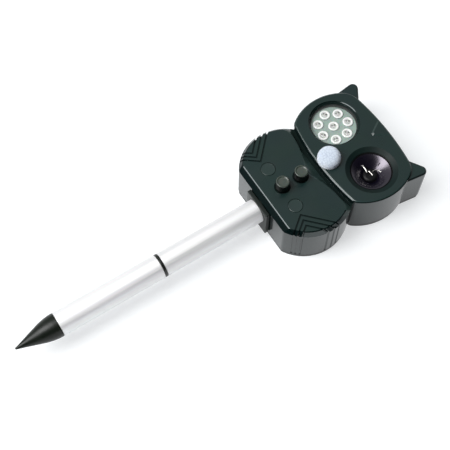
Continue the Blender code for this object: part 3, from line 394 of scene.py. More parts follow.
# Charging socket. A folded steel shell behind a rubber flap that bends at a groove along one end
# and has finger grooves at the other.
low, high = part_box("usb_cover")
grip_pitch = 0.0012
usb_flap = merged_copy("usb_cover", "usb_flap_rubber")
bpy.ops.object.mode_set(mode="EDIT")
grooves = [(low.x + 0.0016, low.x + 0.0022)]
for i in range(3):
    grip = high.x - 0.0012 - grip_pitch * i
    grooves.append((grip, grip - 0.0005))
bisected([place for groove in grooves for place in groove])
pick_faces(
    usb_flap,
    lambda face: on_back(face)
    and any(min(groove) < face.center.x < max(groove) for groove in grooves),
)
sink(0.0003)
bpy.ops.object.mode_set(mode="OBJECT")
ease_edges(usb_flap, 0.0001)
flap_look = moulded("flap_rubber", (0.012, 0.012, 0.012), 0.6, depth=0.00002)
usb_flap.data.materials.append(flap_look)
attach(usb_flap, "usb_flap")
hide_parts("usb_cover")

# Parts closed up inside: boards, potentiometers, battery, screws and the can of the motion
# sensor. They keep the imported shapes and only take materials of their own.
metal_needs = {
    "Colour": COLOUR,
    "Roughness": VALUE,
    "Line Scale": DIRECTION,
    "Line Depth": VALUE,
}
drawn_metal, given = skin_group("drawn_metal", metal_needs)
stretch = {"Vector": object_place(drawn_metal), "Scale": given["Line Scale"]}
stretched = add_node(drawn_metal, "ShaderNodeMapping", stretch).outputs["Vector"]
drawn = {"Vector": stretched, "Scale": 1, "Detail": 3}
lines = add_node(drawn_metal, "ShaderNodeTexNoise", drawn).outputs
join_skin(
    drawn_metal,
    given,
    fine=lines,
    depth=given["Line Depth"],
    broad=lines,
    mottle=0.12,
    dulling=(0.8, 1.25),
)


def metal(name, colour, roughness, lines, depth=0.000002, metallic=1):
    """A metal with fine lines, this many to the metre along X, Y and Z."""
    values = {
        "Colour": (*colour, 1),
        "Roughness": roughness,
        "Line Scale": lines,
        "Line Depth": depth,
    }
    look = skinned(name, drawn_metal, values)
    shade(look, {"Metallic": metallic})
    return look


steel_look = metal("screw_steel", (0.55, 0.55, 0.54), 0.3, (900, 900, 900))
brass_look = metal("piezo_brass", (0.72, 0.55, 0.27), 0.32, (700, 700, 700))
board_look = moulded(
    "board_green", (0.02, 0.13, 0.05), 0.35, grain=0.0012, depth=0.00002, mottle=0.5
)
pot_look = moulded("pot_blue", (0.03, 0.06, 0.2), 0.4)
wrap_look = moulded("cell_wrap", (0.05, 0.14, 0.45), 0.3)
holder_look = moulded("holder_plastic", (0.015, 0.015, 0.015), 0.45)
dress(board_look, "main_board", "sensor_board")
dress(pot_look, "frequency_pot", "sensitivity_pot")
dress(wrap_look, "battery_cell")
dress(holder_look, "battery_holder")
dress(brass_look, "piezo_disc")
dress(steel_look, "sensor_can", "switch_body", "usb_socket")
dress(steel_look, "frequency_shaft", "sensitivity_shaft")
dress(steel_look, *[f"board_screw_{i}" for i in range(1, 5)])


# Strobe eye. Clear lamps with a bright collar stand on a pale round board, down a black ring and
# behind a clear plastic window.
def turned(name, profile, at=(0, 0, 0), sides=96, along_stake=False):
    """A round piece drawn up ring by ring from a circle, through (radius, height) points."""
    clear_selection()
    points = [p for p in profile if p[0] > 0]
    bpy.ops.mesh.primitive_circle_add(vertices=sides, radius=points[0][0], location=(0, 0, 0))
    piece = bpy.context.object
    piece.name = name
    piece.data.name = name
    bpy.ops.object.mode_set(mode="EDIT")
    bpy.ops.mesh.select_mode(type="EDGE")
    bpy.ops.mesh.select_all(action="SELECT")
    bpy.ops.transform.translate(value=(0, 0, points[0][1]))
    if profile[0][0] == 0:
        bpy.ops.mesh.edge_face_add()
    for (radius, height), (next_radius, next_height) in zip(points, points[1:]):
        rise = (0, 0, next_height - height)
        bpy.ops.mesh.extrude_edges_move(TRANSFORM_OT_translate={"value": rise})
        grow = next_radius / radius
        bpy.ops.transform.resize(value=(grow, grow, 1), center_override=(0, 0, next_height))
    if profile[-1][0] == 0:
        rise = (0, 0, profile[-1][1] - points[-1][1])
        bpy.ops.mesh.extrude_edges_move(TRANSFORM_OT_translate={"value": rise})
        bpy.ops.mesh.merge(type="CENTER")
    bpy.ops.mesh.select_all(action="SELECT")
    bpy.ops.mesh.remove_doubles(threshold=1e-7)
    bpy.ops.mesh.normals_make_consistent(inside=False)
    bpy.ops.object.mode_set(mode="OBJECT")
    if along_stake:
        piece.rotation_euler = (math.pi / 2, 0, 0)
    piece.location = at
    bpy.ops.object.transform_apply(location=True, rotation=True, scale=True)
    level_normals(piece, 35)
    return piece


def disc_profile(radius, low, high, broken=0.0002):
    """A flat disc with both edges broken."""
    return [
        (0, low),
        (radius - broken, low),
        (radius, low + broken),
        (radius, high - broken),
        (radius - broken, high),
        (0, high),
    ]


def quarter_turn(steps, first=0):
    """Angles from level up to upright, without the last."""
    return [math.pi / 2 * i / steps for i in range(first, steps)]


def placed_copy(model, name, at, turn):
    """A copy of a small piece with its own mesh, turned and set in its place."""
    piece = copied(model.data, name)
    piece.rotation_euler = (0, 0, turn)
    piece.location = at
    bpy.ops.object.transform_apply(location=True, rotation=True, scale=True)
    return piece


low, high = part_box("led_board")
eye_y = (low.y + high.y) / 2
strobe_at = ((low.x + high.x) / 2, eye_y, 0)
board_profile = disc_profile((high.x - low.x) / 2, low.z, high.z)
board_profile[-1:-1] = [(0.0105, high.z), (0.0004, high.z)]  # rings that split its wide top
strobe_board = turned("strobe_board", board_profile, strobe_at, sides=72)
pale_look = moulded(
    "strobe_board",
    (0.39, 0.51, 0.455),
    0.45,
    grain=0.0011,
    depth=0.00003,
    mottle=0.6,
    patch=0.0012,
)
strobe_board.data.materials.append(pale_look)
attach(strobe_board, "housing")
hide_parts("led_board")

collar_look = moulded("lamp_collar", (0.93, 0.94, 0.93), 0.2, grain=0.0006, mottle=0.1)
cup_look = moulded("lamp_cup", (0.8, 0.82, 0.78), 0.4, grain=0.0006, mottle=0.7, patch=0.0009)
post_look = moulded("lamp_post", (0.02, 0.02, 0.018), 0.4)


def clear_plastic(name, colour, roughness, streak, opacity):
    """A clear plastic with a slight haze in streaks of that size, in metres."""
    look = new_look(name)
    tree = look.node_tree
    streaks = {"Vector": object_place(tree), "Scale": 1 / streak}
    haze = add_node(tree, "ShaderNodeTexNoise", streaks).outputs["Fac"]
    cover = ranged(tree, haze, new_range=opacity)
    shade(look, {"Base Color": (*colour, 1), "Roughness": roughness, "Alpha": cover})
    return look


dome_look = clear_plastic(
    "strobe_clear", (0.95, 0.96, 0.95), 0.08, streak=1 / 900, opacity=(0.08, 0.22)
)
COLLAR, CUP, POST, DOME = range(4)
lamp_looks = (collar_look, cup_look, post_look, dome_look)
low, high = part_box("strobe_led_1")
lamp_floor = low.z
lamp_radius = (high.x - low.x) / 2 + 0.0003
cup_floor, post_top = 0.0004, 0.0008
dome_radius, dome_foot, dome_start, dome_rise = 0.0021, 0.0005, 0.0006, 0.00095
collar = turned(
    "collar",
    [
        (0, 0),
        (lamp_radius, 0),
        (lamp_radius, 0.0006),
        (lamp_radius - 0.0002, 0.0008),
        (lamp_radius - 0.0005, 0.0009),
        (lamp_radius - 0.0012, 0.0009),
        (lamp_radius - 0.0016, 0.0006),
        (lamp_radius - 0.0019, cup_floor),
        (0, cup_floor),
    ],
    sides=40,
)
cup_radius = lamp_radius - 0.0017


def collar_face(face):
    """The bright cup inside the collar, or the collar itself."""
    in_cup = face.center.z > cup_floor - 0.0001 and face.center.xy.length < cup_radius
    return CUP if in_cup else COLLAR


finish_faces(collar, lamp_looks, collar_face)
lamp_pieces = [collar]
for x, y, size in ((-0.0013, -0.0006, 0.0007), (-0.0002, 0.0012, 0.0008)):
    post_profile = [(0, cup_floor), (size, cup_floor), (size * 0.8, post_top), (0, post_top)]
    post = turned("post", post_profile, (x, y, 0), sides=12)
    finish_faces(post, lamp_looks, lambda face: POST)
    lamp_pieces.append(post)
dome_profile = [(0, dome_foot), (dome_radius, dome_foot)]
for angle in quarter_turn(8):
    height = dome_start + dome_rise * math.sin(angle)
    dome_profile.append((dome_radius * math.cos(angle), height))
dome_profile.append((0, dome_start + dome_rise))
dome = turned("dome", dome_profile, sides=32)
finish_faces(dome, lamp_looks, lambda face: DOME)
lamp_pieces.append(dome)
take_up(collar)
for piece in lamp_pieces:
    piece.select_set(True)
bpy.ops.object.join()
for i in range(1, 9):
    one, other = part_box(f"strobe_led_{i}")
    lamp_at = ((one.x + other.x) / 2, (one.y + other.y) / 2, lamp_floor)
    skew = 0.35 * math.sin(2.4 * i)  # no two lamps are set quite alike
    lamp = placed_copy(collar, f"strobe_lamp_{i}", lamp_at, skew)
    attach(lamp, "housing")
    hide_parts(f"strobe_led_{i}")
bpy.data.objects.remove(collar)

low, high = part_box("led_spacer")
outer = (high.x - low.x) / 2
bore = 0.0188
spacer_ring = turned(
    "spacer_ring",
    [
        (outer, low.z),
        (outer, high.z),
        (bore + 0.0002, high.z),
        (bore, high.z - 0.0002),
        (bore, low.z),
        (outer, low.z),
    ],
    strobe_at,
)
spacer_ring.data.materials.append(trim_look)
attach(spacer_ring, "housing")
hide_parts("led_spacer")

low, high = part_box("led_window")
pane_profile = disc_profile((high.x - low.x) / 2, low.z, high.z)
window_pane = turned("window_pane", pane_profile, strobe_at)
window_look = clear_plastic(
    "window_clear", (0.9, 0.95, 0.94), 0.04, streak=1 / 160, opacity=(0.01, 0.03)
)
window_pane.data.materials.append(window_look)
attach(window_pane, "housing")
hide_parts("led_window")

# Speaker eye. A black frame holds a glossy purple-black film cone by its matt surround. A small
# domed cap closes the cone's throat over the piezo disc.
low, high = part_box("speaker_frame")
speaker_x = (low.x + high.x) / 2
speaker_at = (speaker_x, eye_y, 0)
rim = (high.x - low.x) / 2
top = high.z
bottom = low.z
lip = rim - 0.004
shelf = rim - 0.005
neck, neck_bore, disc_hole = 0.013, 0.0115, 0.0065
neck_floor = bottom + 0.0015
speaker_rim = turned(
    "speaker_rim",
    [
        (rim, top - 0.0002),
        (rim, top - 0.0016),
        (lip, top - 0.0018),
        (neck, bottom + 0.0045),
        (neck, bottom),
        (disc_hole, bottom),
        (disc_hole, neck_floor),
        (neck_bore, neck_floor),
        (neck_bore, bottom + 0.0049),
        (shelf, top - 0.0032),
        (lip, top - 0.0026),
        (lip, top - 0.0002),
        (lip + 0.0002, top),
        (rim - 0.0002, top),
        (rim, top - 0.0002),
    ],
    speaker_at,
)
speaker_rim.data.materials.append(trim_look)
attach(speaker_rim, "housing")
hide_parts("speaker_frame")

low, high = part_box("speaker_cone")
edge = lip - 0.0002
film = 0.0006
throat = 0.0058
start = edge - 0.0003
surround = edge - 0.0012
depth = high.z - low.z - film
upper = []
for i in range(17):
    inwards = i / 16
    fall = 0.75 * inwards**1.35 + 0.25 * inwards
    upper.append((start - (start - throat) * inwards, high.z - depth * fall))
under = [(r, z - film) for r, z in reversed(upper)]
film_profile = [(edge, high.z), *upper, *under, (edge, high.z - film), (edge, high.z)]
speaker_film = turned("speaker_film", film_profile, speaker_at)
film_look = moulded(
    "speaker_film", (0.004, 0.003, 0.009), 0.26, grain=0.004, depth=0.00003, mottle=0.3
)
shade(film_look, {"IOR": 1.85, "Specular Tint": (0.95, 0.87, 1, 1)})
surround_look = moulded(
    "film_surround", (0.002, 0.002, 0.003), 0.6, grain=0.0007, depth=0.00003, specular=0.1
)
finish_faces(
    speaker_film,
    (film_look, surround_look),
    lambda face: math.hypot(face.center.x - speaker_x, face.center.y - eye_y) > surround,
)
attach(speaker_film, "housing")
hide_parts("speaker_cone")

low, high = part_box("speaker_cap")
cap_radius = (high.x - low.x) / 2
cap_foot = low.z + 0.0003
rise = high.z - low.z - 0.0003
cap_profile = [(0, low.z), (cap_radius, low.z), (cap_radius, cap_foot)]
for angle in quarter_turn(9, 1):
    radius = cap_radius * (0.55 + 0.45 * math.cos(angle))
    cap_profile.append((radius, cap_foot + rise * math.sin(angle)))
cap_profile += [
    (cap_radius * 0.45, high.z),
    (cap_radius * 0.3, high.z - 0.0004),
    (0, high.z - 0.0008),
]
speaker_dome = turned("speaker_dome", cap_profile, speaker_at, sides=64)
dome_black = moulded(
    "speaker_dome", (0.003, 0.003, 0.004), 0.5, grain=0.0007, depth=0.00003, specular=0.2
)
speaker_dome.data.materials.append(dome_black)
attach(speaker_dome, "housing")
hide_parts("speaker_cap")


# Speaker streaks. Three thin strips of bright tinned braid and a black one, bent to follow the film
# in to the cap, where they put bright and dark streaks on it.
def film_height(x, y):
    """How high the film is at a place, measured from the speaker's middle."""
    away = max(math.hypot(x, y), throat)
    for (r0, z0), (r1, z1) in zip(upper, upper[1:]):
        if r1 <= away <= r0:
            return z0 + (z1 - z0) * (r0 - away) / (r0 - r1)
    return upper[0][1]


braid_look = metal("lead_braid", (0.9, 0.89, 0.84), 0.3, (2500, 2500, 2500), depth=0.00002)
first_path = (
    (-0.0096, -0.0014),
    (-0.0072, -0.0008),
    (-0.0048, -0.0011),
    (-0.0027, -0.0016),
)
second_path = ((-0.003, 0.0004), (-0.001, 0.0009), (0.0017, 0.0009))
third_path = ((-0.0012, 0.0031), (-0.0015, 0.007), (0.003, 0.0084))
tail_path = ((-0.0026, 0.0092), (-0.003, 0.0104), (-0.0034, 0.0116))
# Each strip puts a bright or a dark streak on the film.
for name, thick, look, path in (
    ("lead_braid_1", 0.0007, braid_look, first_path),
    ("lead_braid_2", 0.0004, braid_look, second_path),
    ("lead_braid_3", 0.0003, braid_look, third_path),
    ("lead_tail", 0.0003, dome_black, tail_path),
):
    clear_selection()
    bpy.ops.curve.primitive_nurbs_path_add(location=(0, 0, 0))
    braid = bpy.context.object
    braid.name = name
    spline = braid.data.splines[0]
    spline.points.add(max(len(path) - len(spline.points), 0))
    for i, point in enumerate(spline.points):
        x, y = path[min(i, len(path) - 1)]
        point.co = (speaker_x + x, eye_y + y, max(film_height(x, y), high.z) + thick, 1)
    spline.order_u = 3
    braid.data.bevel_depth = thick
    braid.data.bevel_resolution = 2
    braid.data.use_fill_caps = True
    bpy.ops.object.convert(target="MESH")
    braid.data.name = name
    bpy.ops.object.shade_smooth()
    braid.data.materials.append(look)
    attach(braid, "housing")

# Motion sensor. A milky dome lens, moulded with small lens facets on its inside, snaps into the
# lower edge of the head.
low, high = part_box("pir_lens")
lens_radius = (high.x - low.x) / 2
lens_y = (low.y + high.y) / 2
dome_z = high.z - lens_radius
collar_z = dome_z - 0.0024
spigot, spigot_bore = 0.0084, 0.0076
lens_profile = [
    (spigot_bore, low.z),
    (spigot, low.z),
    (spigot, collar_z),
    (lens_radius - 0.0002, collar_z),
    (lens_radius, collar_z + 0.0002),
]
for angle in quarter_turn(24):
    height = dome_z + lens_radius * math.sin(angle)
    lens_profile.append((lens_radius * math.cos(angle), height))
lens_profile.append((0, high.z))
lens_dome = turned("lens_dome", lens_profile, (0, lens_y, 0), sides=80)
take_up(lens_dome)
bpy.ops.object.mode_set(mode="EDIT")
bpy.ops.mesh.select_all(action="DESELECT")
bpy.ops.mesh.select_non_manifold()
bpy.ops.mesh.edge_face_add()
bpy.ops.object.mode_set(mode="OBJECT")

lens_look = new_look("lens_white")
milky = lens_look.node_tree
cut = {"Vector": object_place(milky), "Scale": 420}
facets = add_node(milky, "ShaderNodeTexVoronoi", cut, feature="DISTANCE_TO_EDGE")
domes = ranged(milky, facets.outputs["Distance"], (0, 0.12))
milk = mixed(milky, domes, (0.44, 0.5, 0.6, 1), (0.6, 0.665, 0.75, 1))
outwards = add_node(milky, "ShaderNodeNewGeometry").outputs["Normal"]
forward = {"Factor": 0.88, "A": outwards, "B": (0, -0.1, 1)}
levelled = add_node(milky, "ShaderNodeMix", forward, data_type="VECTOR").outputs["Result"]
evened = add_node(milky, "ShaderNodeVectorMath", {0: levelled}, operation="NORMALIZE")
heights = {
    "Distance": 0.00006,
    "Strength": 0.5,
    "Height": domes,
    "Normal": evened.outputs["Vector"],
}
shade(
    lens_look,
    {
        "Base Color": milk,
        "Normal": add_node(milky, "ShaderNodeBump", heights).outputs["Normal"],
        "Roughness": 0.35,
        "Subsurface Weight": 0.7,
        "Subsurface Radius": (1, 1, 1),
        "Subsurface Scale": 0.006,
    },
)
lens_dome.data.materials.append(lens_look)
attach(lens_dome, "housing")
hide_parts("pir_lens")


# Front cover. One deep shell in dark green plastic: the head with its ears and eyes, and the belly
# with its plate, chamfer and chevron grooves. Its tops are satin. Its walls and edges are polished,
# and their darker colour is painted shade. Its knob wells, waist floor, eye bezels and chevron
# floors are dull and dark with painted shade. The slopes of the forehead mark and of the waist's
# shoulder are lighter with a painted highlight. The mould leaves the plate's edge at the waist well
# rounded.
def housing_finish(name, colour, roughness, **changes):
    """One finish of the front cover; some are darker with painted shade, one lighter with a painted
    highlight.
    """
    texture = {"grain": 0.0009, "depth": 0.000006, "mottle": 0.3, **changes}
    return moulded("housing_" + name, colour, roughness, **texture)


satin_look = housing_finish("satin", (0.0055, 0.0218, 0.02), 0.3)
# The polished finish is glossier than the satin one, and its darker colour is painted shade on the
# walls, chamfers and edges.
polished_shaded_look = housing_finish(
    "polished", (0.0015, 0.0065, 0.0065), 0.12, grain=0.0012, depth=0.000004, mottle=0.2
)
shade(polished_shaded_look, {"Specular Tint": (0.9, 0.99, 1, 1)})
# The groove finish is dull, and its dark colour is painted shade in the knob wells and on the
# waist's floor.
groove_shade_look = housing_finish("groove", (0.003, 0.01, 0.009), 0.6, specular=0.1)
# The bezel finish is dull, and its dark colour is painted shade on the eye bezels and the chevron
# groove floors.
bezel_shade_look = housing_finish("bezel", (0.003, 0.012, 0.011), 0.5, specular=0.2)
# The crest finish is lighter than the satin one: a painted highlight on the forehead mark's slopes
# and the waist's shoulder.
crest_highlight_look = housing_finish("crest", (0.026, 0.05, 0.046), 0.3)

# Heights of its forms, and how far along or how far round they reach.
crest_rings, crest_from, crest_drop = (0.0428, 0.04225), 0.0426, 0.0002
eye_clearance = 0.0214
bezel_reach, bezel_from = 0.0207, 0.039
plate_top, plate_end = 0.0415, -0.02
well_reach, well_rim = 0.0067, 0.0413
chevron_floor, belly_end = 0.0405, -0.01
lowest_top = 0.0395
waist_floor = (0.036, 0.0385)
shoulder, shoulder_end = (0.0362, 0.0414), -0.0175
knob_rows = []
for name in ("frequency_knob", "sensitivity_knob"):
    low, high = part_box(name)
    knob_rows.append((low.y + high.y) / 2)


def from_eye(place):
    """How far a place on the front lies from the middle of the nearer eye."""
    return math.hypot(abs(place.x) - speaker_x, place.y - eye_y)


def from_knob(place):
    """How far a place on the front lies from the middle of the nearer knob."""
    return min(math.hypot(place.x, place.y - row) for row in knob_rows)


front_shell = merged_copy("front_cover", "front_shell")
bpy.ops.object.mode_set(mode="EDIT")
bpy.ops.mesh.select_mode(type="VERT")
bpy.ops.mesh.select_all(action="DESELECT")
bpy.ops.object.mode_set(mode="OBJECT")
for vert in front_shell.data.vertices:
    on_crest = any(abs(vert.co.z - ring) < 0.00002 for ring in crest_rings)
    vert.select = on_crest and from_eye(vert.co) > eye_clearance
bpy.ops.object.mode_set(mode="EDIT")
bpy.ops.transform.translate(value=(0, 0, -crest_drop))
bpy.ops.object.mode_set(mode="OBJECT")

waist = front_shell.data.attributes.new("bevel_weight_edge", "FLOAT", "EDGE")
sides_of = {}
for face in front_shell.data.polygons:
    for key in face.edge_keys:
        sides_of.setdefault(key, []).append(face.normal)
for line in front_shell.data.edges:
    ends = [front_shell.data.vertices[v].co for v in line.vertices]
    on_plate = all(abs(end.z - plate_top) < 0.00005 and end.y > plate_end for end in ends)
    beside = sides_of[tuple(sorted(line.vertices))]
    if on_plate and any(normal.z < 0.5 and normal.y > 0.2 for normal in beside):
        waist.data[line.index].value = 1
rounded = front_shell.modifiers.new("rounded", "BEVEL")
rounded.width = 0.0005
rounded.segments = 3
rounded.limit_method = "WEIGHT"
rounded.use_clamp_overlap = False
bpy.ops.object.modifier_apply(modifier="rounded")
ease_edges(front_shell, 0.0002, smooth=22)

SATIN, POLISHED_SHADED, GROOVE_SHADE, BEZEL_SHADE, CREST_HIGHLIGHT = range(5)
housing_looks = (satin_look, polished_shaded_look, groove_shade_look, bezel_shade_look, crest_highlight_look)


def housing_face(face):
    """A front-cover face's finish, painted shade and highlight included, from its place and how
    level it lies.
    """
    up, height, y = face.normal.z, face.center.z, face.center.y
    level = up > 0.985
    to_waist = up > 0.5 and not level and face.normal.y > 0.3
    # Painted shade in the wells round the knobs.
    if from_knob(face.center) < well_reach and height < well_rim:
        return GROOVE_SHADE
    # Painted shade on the floors of the chevron grooves.
    if level and abs(height - chevron_floor) < 0.0002 and y < belly_end:
        return BEZEL_SHADE
    if level and height > lowest_top:
        return SATIN
    # Painted shade on the eye bezels, whose finish is also dull.
    if up > 0.6 and height > bezel_from and from_eye(face.center) < bezel_reach:
        return BEZEL_SHADE
    # A painted highlight on the slopes of the forehead mark.
    if up > 0.7 and height > crest_from and from_eye(face.center) > eye_clearance:
        return CREST_HIGHLIGHT
    # Painted shade on the floor of the waist between head and belly.
    if level and waist_floor[0] < height < waist_floor[1]:
        return GROOVE_SHADE
    # A painted highlight on the slope of the shoulder at the waist.
    if to_waist and shoulder[0] < height < shoulder[1] and y > shoulder_end:
        return CREST_HIGHLIGHT
    # All else, the walls, chamfers and edges, is glossy with a darker colour as painted shade.
    return POLISHED_SHADED


finish_faces(front_shell, housing_looks, housing_face)
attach(front_shell, "housing")
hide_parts("front_cover")

# Cover screws. Zinc-plated cross-head screws, sunk in the back and driven into the front cover.
# All four are alike, and each stands at an angle of its own.
low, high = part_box("cover_screw_1")
head = (high.x - low.x) / 2
head_under, shank = 0.0014, 0.0012
length = high.z - low.z
screw_profile = [
    (0, 0),
    (head * 0.72, 0),
    (head * 0.92, 0.00025),
    (head, 0.0006),
    (head, head_under),
    (shank, head_under),
    (shank, length - 0.001),
    (0, length),
]
screw = turned("screw", screw_profile, sides=40)
for turn in (0, math.pi / 2):
    clear_selection()
    bpy.ops.mesh.primitive_cube_add(size=1, location=(0, 0, 0))
    blade = bpy.context.object
    blade.scale = (0.0032, 0.0006, 0.0016)
    blade.rotation_euler = (0, 0, turn)
    bpy.ops.object.transform_apply(location=True, rotation=True, scale=True)
    take_up(screw)
    cross = screw.modifiers.new("cross", "BOOLEAN")
    cross.operation = "DIFFERENCE"
    cross.solver = "EXACT"
    cross.object = blade
    bpy.ops.object.modifier_apply(modifier="cross")
    bpy.data.objects.remove(blade)
bpy.ops.object.shade_smooth_by_angle(angle=math.radians(35))
screw.data.materials.clear()
screw.data.materials.append(steel_look)
for i in range(1, 5):
    one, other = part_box(f"cover_screw_{i}")
    screw_at = ((one.x + other.x) / 2, (one.y + other.y) / 2, one.z)
    back_screw = placed_copy(screw, f"back_screw_{i}", screw_at, 0.7 * i)
    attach(back_screw, "housing")
    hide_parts(f"cover_screw_{i}")
bpy.data.objects.remove(screw)

# Knobs. Two moulded plastic knobs with a bevelled rim and a dished, worn top, pressed onto the
# shafts of the frequency and sensitivity controls.
knob_look = moulded(
    "knob_plastic", (0.002, 0.003, 0.0028), 0.3, grain=0.0005, depth=0.000004, specular=0.2
)
knob_top_look = moulded(
    "knob_top",
    (0.045, 0.066, 0.05),
    0.42,
    grain=0.0005,
    depth=0.00002,
    mottle=0.75,
    patch=0.0011,
    specular=0.9,
)
shaft_bore, shaft_depth = 0.0032, 0.0065
for name, body in (("frequency_knob", "lower_knob"), ("sensitivity_knob", "upper_knob")):
    low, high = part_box(name)
    wide = (high.x - low.x) / 2
    tall = high.z - low.z
    knob = turned(
        name.replace("knob", "dial"),
        [
            (0, shaft_depth),
            (shaft_bore, shaft_depth),
            (shaft_bore, 0),
            (wide - 0.0001, 0),
            (wide, 0.0002),
            (wide, tall - 0.0011),
            (wide * 0.985, tall - 0.0008),
            (wide * 0.955, tall - 0.0005),
            (wide * 0.87, tall - 0.0001),
            (wide * 0.845, tall),
            (wide * 0.8, tall),
            (wide * 0.78, tall - 0.0001),
            (wide * 0.68, tall - 0.0005),
            (wide * 0.65, tall - 0.0006),
            (wide * 0.3, tall - 0.0006),
            (0, tall - 0.0006),
        ],
        (0, (low.y + high.y) / 2, low.z),
        sides=64,
    )
    finish_faces(
        knob,
        (knob_look, knob_top_look),
        lambda face: face.normal.z > 0.6 and face.center.z > high.z - 0.001,
    )
    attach(knob, body)
    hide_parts(name)

# Blank plugs. Flush discs of the housing's plastic with a slightly raised rim. A pin behind each
# holds it in one of the two unused holes beside the lower knob.
plug_look = moulded("plug_plastic", (0.015, 0.033, 0.031), 0.3, grain=0.0006)
pin, disc_thick = 0.0016, 0.0012
for name in ("right_plug", "left_plug"):
    low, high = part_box(name)
    wide = (high.x - low.x) / 2
    disc = turned(
        name.replace("plug", "disc"),
        [
            (0, low.z),
            (pin, low.z),
            (pin, high.z - disc_thick),
            (wide, high.z - disc_thick),
            (wide, high.z - 0.0003),
            (wide - 0.0001, high.z - 0.0001),
            (wide - 0.0003, high.z),
            (wide - 0.0007, high.z),
            (wide - 0.0009, high.z - 0.0001),
            (0, high.z - 0.0001),
        ],
        ((low.x + high.x) / 2, (low.y + high.y) / 2, 0),
        sides=64,
    )
    disc.data.materials.append(plug_look)
    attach(disc, "housing")
    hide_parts(name)

# Stake socket. A moulded pad on the bottom wall, with a blind round socket behind it that grips
# the end of the upper tube.
socket_look = moulded(
    "socket_plastic", (0.012, 0.017, 0.015), 0.35, grain=0.0006, specular=0.25
)
socket_pad = merged_copy("stake_socket", "socket_pad")
ease_edges(socket_pad, 0.0004)
socket_pad.data.materials.append(socket_look)
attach(socket_pad, "housing")
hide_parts("stake_socket")


# Stake tubes. Two lengths of drawn aluminium tube with a satin anodised skin, cut square and
# broken at the edges.
def rounded_band(radius, low, high):
    """The outside of a tube or ring, with both edges rounded."""
    return [
        (radius - 0.0003, low),
        (radius - 0.0001, low + 0.0001),
        (radius, low + 0.0003),
        (radius, high - 0.0003),
        (radius - 0.0001, high - 0.0001),
        (radius - 0.0003, high),
    ]


tube_look = metal(
    "tube_aluminium", (0.93, 0.93, 0.94), 0.62, (1600, 12, 1600), depth=0.000001, metallic=0.8
)
tube_wall = 0.001
stake_z = sum(corner.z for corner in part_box("upper_tube")) / 2
for node, name, body in (
    ("upper_tube", "upper_stake_tube", "upper_stake"),
    ("lower_tube", "lower_stake_tube", "lower_stake"),
):
    low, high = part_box(node)
    outer = (high.x - low.x) / 2
    inner = outer - tube_wall
    length = high.y - low.y
    tube = turned(
        name,
        [
            (inner, 0.0002),
            (inner + 0.0002, 0),
            *rounded_band(outer, 0, length),
            (inner + 0.0002, length),
            (inner, length - 0.0002),
            (inner, 0.0002),
        ],
        (0, high.y, stake_z),
        along_stake=True,
    )
    tube.data.materials.append(tube_look)
    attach(tube, body)
    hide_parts(node)

# Joint and spike. Black mouldings: the joint plugs into both tubes and shows only as a thin ring,
# and the spike plugs into the lower tube and tapers to a blunt point.
low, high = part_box("tube_joint")
outer = (high.x - low.x) / 2
plug = 0.0088
reach = 0.017
end = high.y - low.y
joint_ring = turned(
    "joint_ring",
    [
        (0, 0),
        (plug - 0.0005, 0),
        (plug, 0.0015),
        (plug, reach),
        *rounded_band(outer, reach, end - reach),
        (plug, end - reach),
        (plug, end - 0.0015),
        (plug - 0.0005, end),
        (0, end),
    ],
    (0, high.y, stake_z),
    along_stake=True,
)
joint_look = moulded("joint_plastic", (0.012, 0.013, 0.012), 0.3, grain=0.0008)
joint_ring.data.materials.append(joint_look)
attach(joint_ring, "upper_stake")
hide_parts("tube_joint")

low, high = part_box("spike")
outer = (high.x - low.x) / 2
held = 0.015
length = high.y - low.y - held
taper = [  # how far along the spike, and how wide it is there
    (0, 1),
    (0.1, 0.99),
    (0.22, 0.935),
    (0.36, 0.815),
    (0.63, 0.5),
    (0.85, 0.23),
    (0.95, 0.12),
    (0.985, 0.08),
]
spike_profile = [(0, 0), (plug - 0.0005, 0), (plug, 0.0015), (plug, held), (outer - 0.0002, held)]
for (t0, w0), (t1, w1) in zip(taper, taper[1:]):
    for i in range(3):
        along = t0 + (t1 - t0) * i / 3
        width = w0 + (w1 - w0) * i / 3
        spike_profile.append((outer * width, held + 0.0001 + (length - 0.0001) * along))
spike_profile += [
    (outer * 0.08, held + length * 0.985),
    (outer * 0.05, held + length * 0.996),
    (0, held + length),
]
stake_point = turned("stake_point", spike_profile, (0, high.y, stake_z), along_stake=True)
bpy.ops.object.shade_smooth_by_angle(angle=math.radians(50))
spike_look = moulded("spike_plastic", (0.003, 0.006, 0.003), 0.36, grain=0.0008, specular=0.3)
stake_point.data.materials.append(spike_look)
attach(stake_point, "lower_stake")
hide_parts("spike")

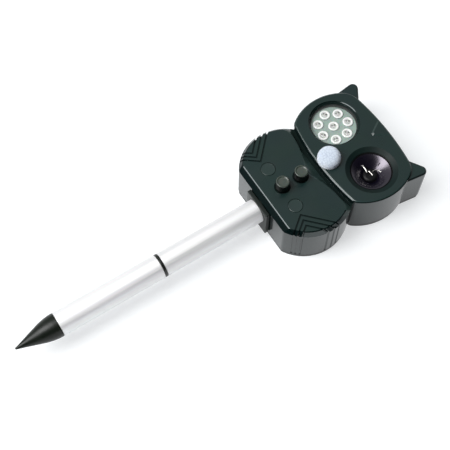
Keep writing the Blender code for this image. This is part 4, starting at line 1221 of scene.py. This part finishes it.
# Floor and light. A white table top, one large softbox high above the stake's end, a low white card
# on the right, and a grey room that is light on the stake's left, and dark on its right and beyond
# its end.
clear_selection()
bpy.ops.mesh.primitive_plane_add(size=12, location=(0, 0, -0.0001))
floor = bpy.context.object
floor.name = "floor"
floor_look = new_look("white_table")
table = floor_look.node_tree
ray = add_node(table, "ShaderNodeLightPath").outputs
seen = reckoned(table, "MAXIMUM", ray["Is Camera Ray"], ray["Is Glossy Ray"])
seen = reckoned(table, "MAXIMUM", seen, ray["Is Transmission Ray"])
shade(
    floor_look,
    {
        "Base Color": (0.48, 0.49, 0.495, 1),
        "Roughness": 0.9,
        "Specular IOR Level": 0,
        "Emission Color": (0.97, 0.985, 1, 1),
        "Emission Strength": reckoned(table, "MULTIPLY", seen, 0.595),
    },
)
floor.data.materials.append(floor_look)

world = bpy.data.worlds.new("room")
bpy.context.scene.world = world
world.use_nodes = True
room = world.node_tree
way = add_node(room, "ShaderNodeTexCoord").outputs["Generated"]
towards = add_node(room, "ShaderNodeSeparateXYZ", {"Vector": way}).outputs
across = ranged(room, towards["X"], (-0.2, 0.32), (0.5, 0.02), "SMOOTHSTEP")
beyond = ranged(room, towards["Y"], (-0.85, -0.4), (0.22, 1), "SMOOTHSTEP")
brightness = reckoned(room, "MULTIPLY", across, beyond)
feed(room, room.nodes["Background"], {"Strength": brightness, "Color": (0.98, 1, 1, 1)})


def panel_light(name, place, target, width, height, watts):
    """A rectangular light panel, aimed at a place."""
    clear_selection()
    bpy.ops.object.light_add(type="AREA", location=place, rotation=aimed(place, target))
    panel = bpy.context.object
    panel.name = name
    panel.data.shape = "RECTANGLE"
    panel.data.size = width
    panel.data.size_y = height
    panel.data.energy = watts
    return panel


softbox_at, card_at = Vector((-0.24, -0.83, 1.225)), Vector((0.7, -0.2, 0.07))
lit_middle, lit_side = Vector((0, -0.05, 0.04)), Vector((0, -0.15, 0.02))
panel_light("softbox", softbox_at, lit_middle, width=0.85, height=1.2, watts=28)
card = panel_light("white_card", card_at, lit_side, width=0.6, height=0.12, watts=0.5)
card.visible_camera = False

bpy.context.scene.view_settings.view_transform = "Standard"
